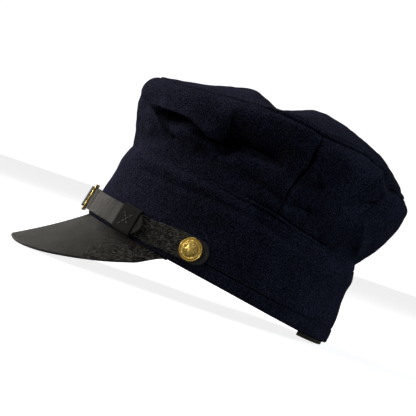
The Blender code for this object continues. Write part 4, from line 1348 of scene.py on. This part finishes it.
def button(name, side):
    """A domed button: plain rim, roped ring, stippled ground and a raised star."""
    half = BUTTON_WIDTH / 2
    turns = 240
    shares = np.concatenate([np.linspace(0.0, DOME_SHARE, 60)[1:], np.linspace(DOME_SHARE + 0.02, 1.0, 9)])
    angle, share = np.meshgrid(np.arange(turns) * 2 * math.pi / turns, shares)
    foot = BUTTON_RIM * 1.15
    dome_place = np.clip(share, 0, DOME_SHARE) / DOME_SHARE
    dome = foot + (BUTTON_RISE * 0.93 - foot) * (1 - dome_place**2.1)
    rim = BUTTON_RIM * 1.5 * np.sqrt(np.clip(1 - ((share - 0.93) / 0.071) ** 2, 0, 1))
    inside, star = star_relief(angle, share)
    rope = bell(share - ROPE_SHARE, 0.045) * (1 + 0.55 * np.sin(angle * 40 + share * 60))
    stipple = np.sin(share * 150) * np.sin(angle * 60 * np.maximum(share, 0.2))
    height = np.where(share <= DOME_SHARE, dome, rim) + star + ROPE_RISE * rope
    height += RING_RISE * bell(share - RING_SHARE, 0.012)
    height += STIPPLE_RISE * stipple * (1 - inside) * (share < RING_SHARE - 0.015)

    # Below the face, the back closes in to the middle
    radii = [half * share]
    heights = [height]
    for radius, level in ((0.985, 0.00008), (0.93, 0.00024), (0.5, 0.00024), (0.04, 0.00024)):
        radii.append(np.full((1, turns), half * radius))
        heights.append(np.full((1, turns), level))
    radius = np.concatenate(radii)
    around = angle[:1]
    loop = np.stack([radius * np.cos(around), radius * np.sin(around), np.concatenate(heights)], axis=-1)
    index = np.arange(len(loop) * turns).reshape(-1, turns)
    after = np.roll(index, -1, 1)
    quads = np.stack([index[1:], after[1:], after[:-1], index[:-1]], axis=-1)
    top = index.size
    faces = quads.reshape(-1, 4).tolist()
    for turn in range(turns):
        faces.append((top, int(index[0, turn]), int(after[0, turn])))
        faces.append((top + 1, int(after[-1, turn]), int(index[-1, turn])))
    middles = [(0, 0, loop[0, :, 2].mean()), (0, 0, 0.00024)]
    points = np.vstack([loop.reshape(-1, 3), middles])

    # Laid on the strap's end
    place = np.array(side * BUTTON_PLACE)
    middle = strap_middle(place)
    spot = beside_band(place, STRAP_GAP * 2 + STRAP_THICKNESS, middle)
    away = unit(spot - beside_band(place, 0.0, middle))
    across = unit(np.cross((0, 0, 1.0), away))
    axes = np.stack([across, np.cross(away, across), away])
    made = build(name + "_brass", points @ axes + spot, faces, BRASS, name, "brass", 70.0)
    painted(made, "shade_and_tarnish", np.clip(1.0 - inside - 2.6 * rope - (share > DOME_SHARE), 0.0, 1.0))


def sweatband():
    """Leather strip inside the back of the band, a little of it showing under the rim."""
    first, second = np.meshgrid(even(150), even(32))
    turn = SWEATBAND_TURN + (360 - 2 * SWEATBAND_TURN) * first
    half = SWEATBAND_THICKNESS / 2
    height = half + (SWEATBAND_HEIGHT - 2 * half) * second - SWEATBAND_DROP
    share = np.maximum(height, 0.0) / BAND_HEIGHT
    out = level_out(turn, share)
    points = band(turn, share) - out * (BAND_THICKNESS + SEAM_GAP)
    points[..., 2] = height - RIM_DIP
    push = 0.05 * rippled(points, 0.010, 60)
    push -= 0.12 * bell(height + SWEATBAND_DROP - SWEATBAND_LINE, 0.3 * MM)
    points = points + out * (np.minimum(push, 0.1) * MM)[..., None]
    sheet = sheet_faces(points, -out, SWEATBAND_THICKNESS, rounded=(True, True))
    build("sweatband_leather", *sheet, SWEAT_LEATHER, "sweatband", "sweat_leather")


def peak_face(first, second):
    """Upper face of the peak, second 0 at the rim to 1 at its edge."""
    share = 2 * first - 1
    turn = PEAK_TURN * share
    reach, slope = eased(PEAK_ROWS, np.abs(share), True)
    at_rim = np.zeros(turn.shape)
    out = level_out(turn, at_rim)
    start = band(turn, at_rim) - out * BAND_THICKNESS * PEAK_SEAT
    angle = np.radians(slope)
    length = PEAK_REACH * reach * second
    sag = PEAK_HOLLOW * reach * 4 * second * (1 - second)
    drop = -SEAM_GAP - length * np.sin(angle) - sag * np.cos(angle)
    points = start + out * (length * np.cos(angle) - sag * np.sin(angle))[..., None]
    points[..., 2] += drop
    return points


def peak():
    """The leather peak: rounded edge, a pressed line inside it, crinkled toward its two ends."""
    first, second = np.meshgrid(np.linspace(0.0, 1.0, 441), 1 - (1 - even(110)) ** 1.15)
    reach, _ = eased(PEAK_ROWS, np.abs(2 * first - 1), True)
    inset = PEAK_THICKNESS / 2 / np.maximum(PEAK_REACH * reach, PEAK_THICKNESS)
    second = second * (1 - np.minimum(inset, 0.5))
    points = peak_face(first, second)
    step = 0.004
    one = peak_face(np.clip(first + step, 0, 1), second) - peak_face(np.clip(first - step, 0, 1), second)
    two = peak_face(first, second + step) - peak_face(first, second - step)
    normal = unit(np.cross(one, two))
    normal *= np.sign(normal[..., 2:3])
    from_end = PEAK_TURN * (1 - np.abs(2 * first - 1))
    thick = PEAK_THICKNESS * (1 - PEAK_THINNING * (1 - softened(from_end, 0.0, PEAK_TAPER)))
    from_edge = PEAK_REACH * reach * (1 - second)
    crinkled = 1 - softened(from_end, 12.0, 42.0)
    push = 0.05 * rippled(points, 0.030, 70) + 0.02 * rippled(points, 0.008, 71)
    long_crinkles = 0.10 * rippled(points * (1.0, 0.6, 1.0), 0.0060, 72)
    push += crinkled * (long_crinkles + 0.06 * rippled(points, 0.0030, 73))
    push -= 0.16 * bell(from_edge - PEAK_LINE_INSET, 0.35 * MM) * softened(reach, 0.05, 0.3)
    points[..., 2] += 0.6 * MM * bell(PEAK_REACH * reach * second, 1.3 * MM)
    points = points + normal * (push * MM)[..., None]
    sheet = sheet_faces(points, -normal, thick, stride=5, rounded=(False, True), arc=7)
    made = build("peak_leather_sheet", *sheet, PEAK_LEATHER, "peak", "peak_leather", 45.0)
    # Crinkled toward its ends, where the leather also gets painted highlights on its wrinkle ridges
    painted(made, "crinkled", crinkled[0], repeated=True)


def seam_stitches():
    """Topstitching beside the top seam and along the turned-up hem."""
    turn = np.linspace(0, 360, 2401)
    past = from_front(turn)
    _, top_seam = eased(SEWN_ROWS, past, True)
    _, _, _, upward = directions(turn, top_seam)
    by_seam = top_seam + topstitch_off(past) / upward
    by_hem = -1 + HEM_STITCH_HEIGHT / BAND_HEIGHT + 0 * turn
    for name, level, spacing in (
        ("top_stitches", by_seam, TOPSTITCH_SPACING),
        ("hem_stitches", by_hem, HEM_STITCH_SPACING),
    ):
        points, normal, _ = sewn(turn, level)
        lengths = lengths_along(points)
        at = np.linspace(0, lengths[-1], round(lengths[-1] / spacing) + 1)
        spots, outs = (
            np.stack([np.interp(at, lengths, values[:, k]) for k in range(3)], axis=1)
            for values in (points, normal)
        )
        stitches(name, spots, unit(outs), NAVY_THREAD, THREAD_RADIUS, gap=0.25, sink=0.1)


peak()
sweatband()
strap("strap_left", LEFT_PATH, False, LEFT_CREASES)
strap("strap_right", RIGHT_PATH, True, RIGHT_CREASES)
keeper()
keeper_cross()
buckle()
button("button_left", 1)
button("button_right", -1)
seam_stitches()

# Camera, at the photograph's angle to the cap
CAMERA_PLACE = Vector((0.900, -0.0249, 0.034))
CAMERA_TARGET = Vector((0.0, -0.0249, 0.0456))
CAMERA_ROLL = math.radians(28.265)
METRES_PER_PIXEL = 0.00075547
IMAGE_WIDTH = 416


def make_camera():
    """The camera, looking level at the cap's left side and rolled as in the photograph."""
    data = bpy.data.cameras.new("camera")
    camera = add_object("camera", data)
    back = (CAMERA_PLACE - CAMERA_TARGET).normalized()
    up = Vector((0.0, -math.sin(CAMERA_ROLL), math.cos(CAMERA_ROLL)))
    right = up.cross(back).normalized()
    turn = Matrix((right, back.cross(right), back)).transposed().to_4x4()
    camera.matrix_world = REST @ Matrix.Translation(CAMERA_PLACE) @ turn
    data.sensor_width = 36.0
    distance = (CAMERA_PLACE - CAMERA_TARGET).length
    data.lens = data.sensor_width * distance / (METRES_PER_PIXEL * IMAGE_WIDTH)
    data.clip_start = 0.01
    data.clip_end = 200.0
    bpy.context.scene.camera = camera


def make_floor():
    """A wide pale floor that neither lights the cap nor shows in its shine."""
    reach = 60.0
    corners = [(-reach, -reach, 0), (reach, -reach, 0), (reach, reach, 0), (-reach, reach, 0)]
    mesh = bpy.data.meshes.new("floor")
    mesh.from_pydata(corners, [], [(0, 1, 2, 3)])
    floor = add_object("floor", mesh)
    made, tree, shader, place = new_material("floor_white")
    fill_named(
        tree, shader,
        Base_Color=blended(tree, noise(tree, place, 3.0), (0.58, 0.58, 0.58), (0.60, 0.60, 0.60)),
        Roughness=0.9,
        Specular_IOR_Level=0.0,
        Emission_Color=(1.0, 1.0, 1.0),
        Emission_Strength=0.86,
    )
    mesh.materials.append(made)
    floor.visible_diffuse = False
    floor.visible_glossy = False


def make_light(name, energy, place, colour, glossy=True, diffuse=True, size=0.9):
    """A soft square lamp facing the cap, which may light the cloth only or the shine only."""
    data = bpy.data.lights.new(name, "AREA")
    data.energy = energy
    data.color = colour
    data.size = size
    lamp = add_object(name, data)
    lamp.location = place
    lamp.rotation_euler = (Vector((0, 0, 0.08)) - Vector(place)).to_track_quat("-Z", "Y").to_euler()
    lamp.visible_glossy = glossy
    lamp.visible_diffuse = diffuse


def make_world():
    """White where the camera looks past the cap, dim light on it, and a soft grey in its shine."""
    world = bpy.data.worlds.new("studio")
    bpy.context.scene.world = world
    world.use_nodes = True
    tree = world.node_tree
    tree.nodes.clear()
    seen = add_node(tree, "Background", Strength=1.1, Color=(1.0, 1.0, 1.0))
    lit = add_node(tree, "Background", Strength=0.008, Color=(0.85, 0.92, 1.0))
    shine = add_node(tree, "Background", Strength=0.24, Color=(1.0, 0.95, 0.88))
    ray = add_node(tree, "LightPath")
    result = lit.outputs[0]
    for kind, backdrop in (("Is Glossy Ray", shine), ("Is Camera Ray", seen)):
        in_order = (ray.outputs[kind], result, backdrop.outputs[0])
        result = add_node(tree, "MixShader", None, in_order).outputs[0]
    add_node(tree, "OutputWorld", None, (result,))


make_camera()
make_floor()
make_world()
make_light("front_low", 28.0, (0.10, -1.92, 0.42), (1.0, 0.97, 0.92), glossy=False)
make_light("front_far", 25.0, (-0.85, -1.50, 0.95), (1.0, 0.98, 0.93), glossy=False)
make_light("front_high", 16.0, (0.05, -1.25, 1.65), (1.0, 0.98, 0.93), glossy=False)
make_light("back_fill", 19.0, (0.80, 1.65, 0.80), (0.80, 0.94, 1.0), glossy=False)
make_light("far_shine", 5.8, (-1.30, -1.35, 0.55), (1.0, 0.95, 0.88), diffuse=False)
make_light("front_shine", 11.0, (1.05, -1.60, 0.45), (1.0, 0.97, 0.93), diffuse=False, size=0.35)
make_light("top_shine", 5.0, (0.35, -0.55, 1.75), (1.0, 0.97, 0.93), diffuse=False, size=0.35)
bpy.context.scene.view_settings.view_transform = "Standard"
bpy.context.scene.view_settings.look = "None"
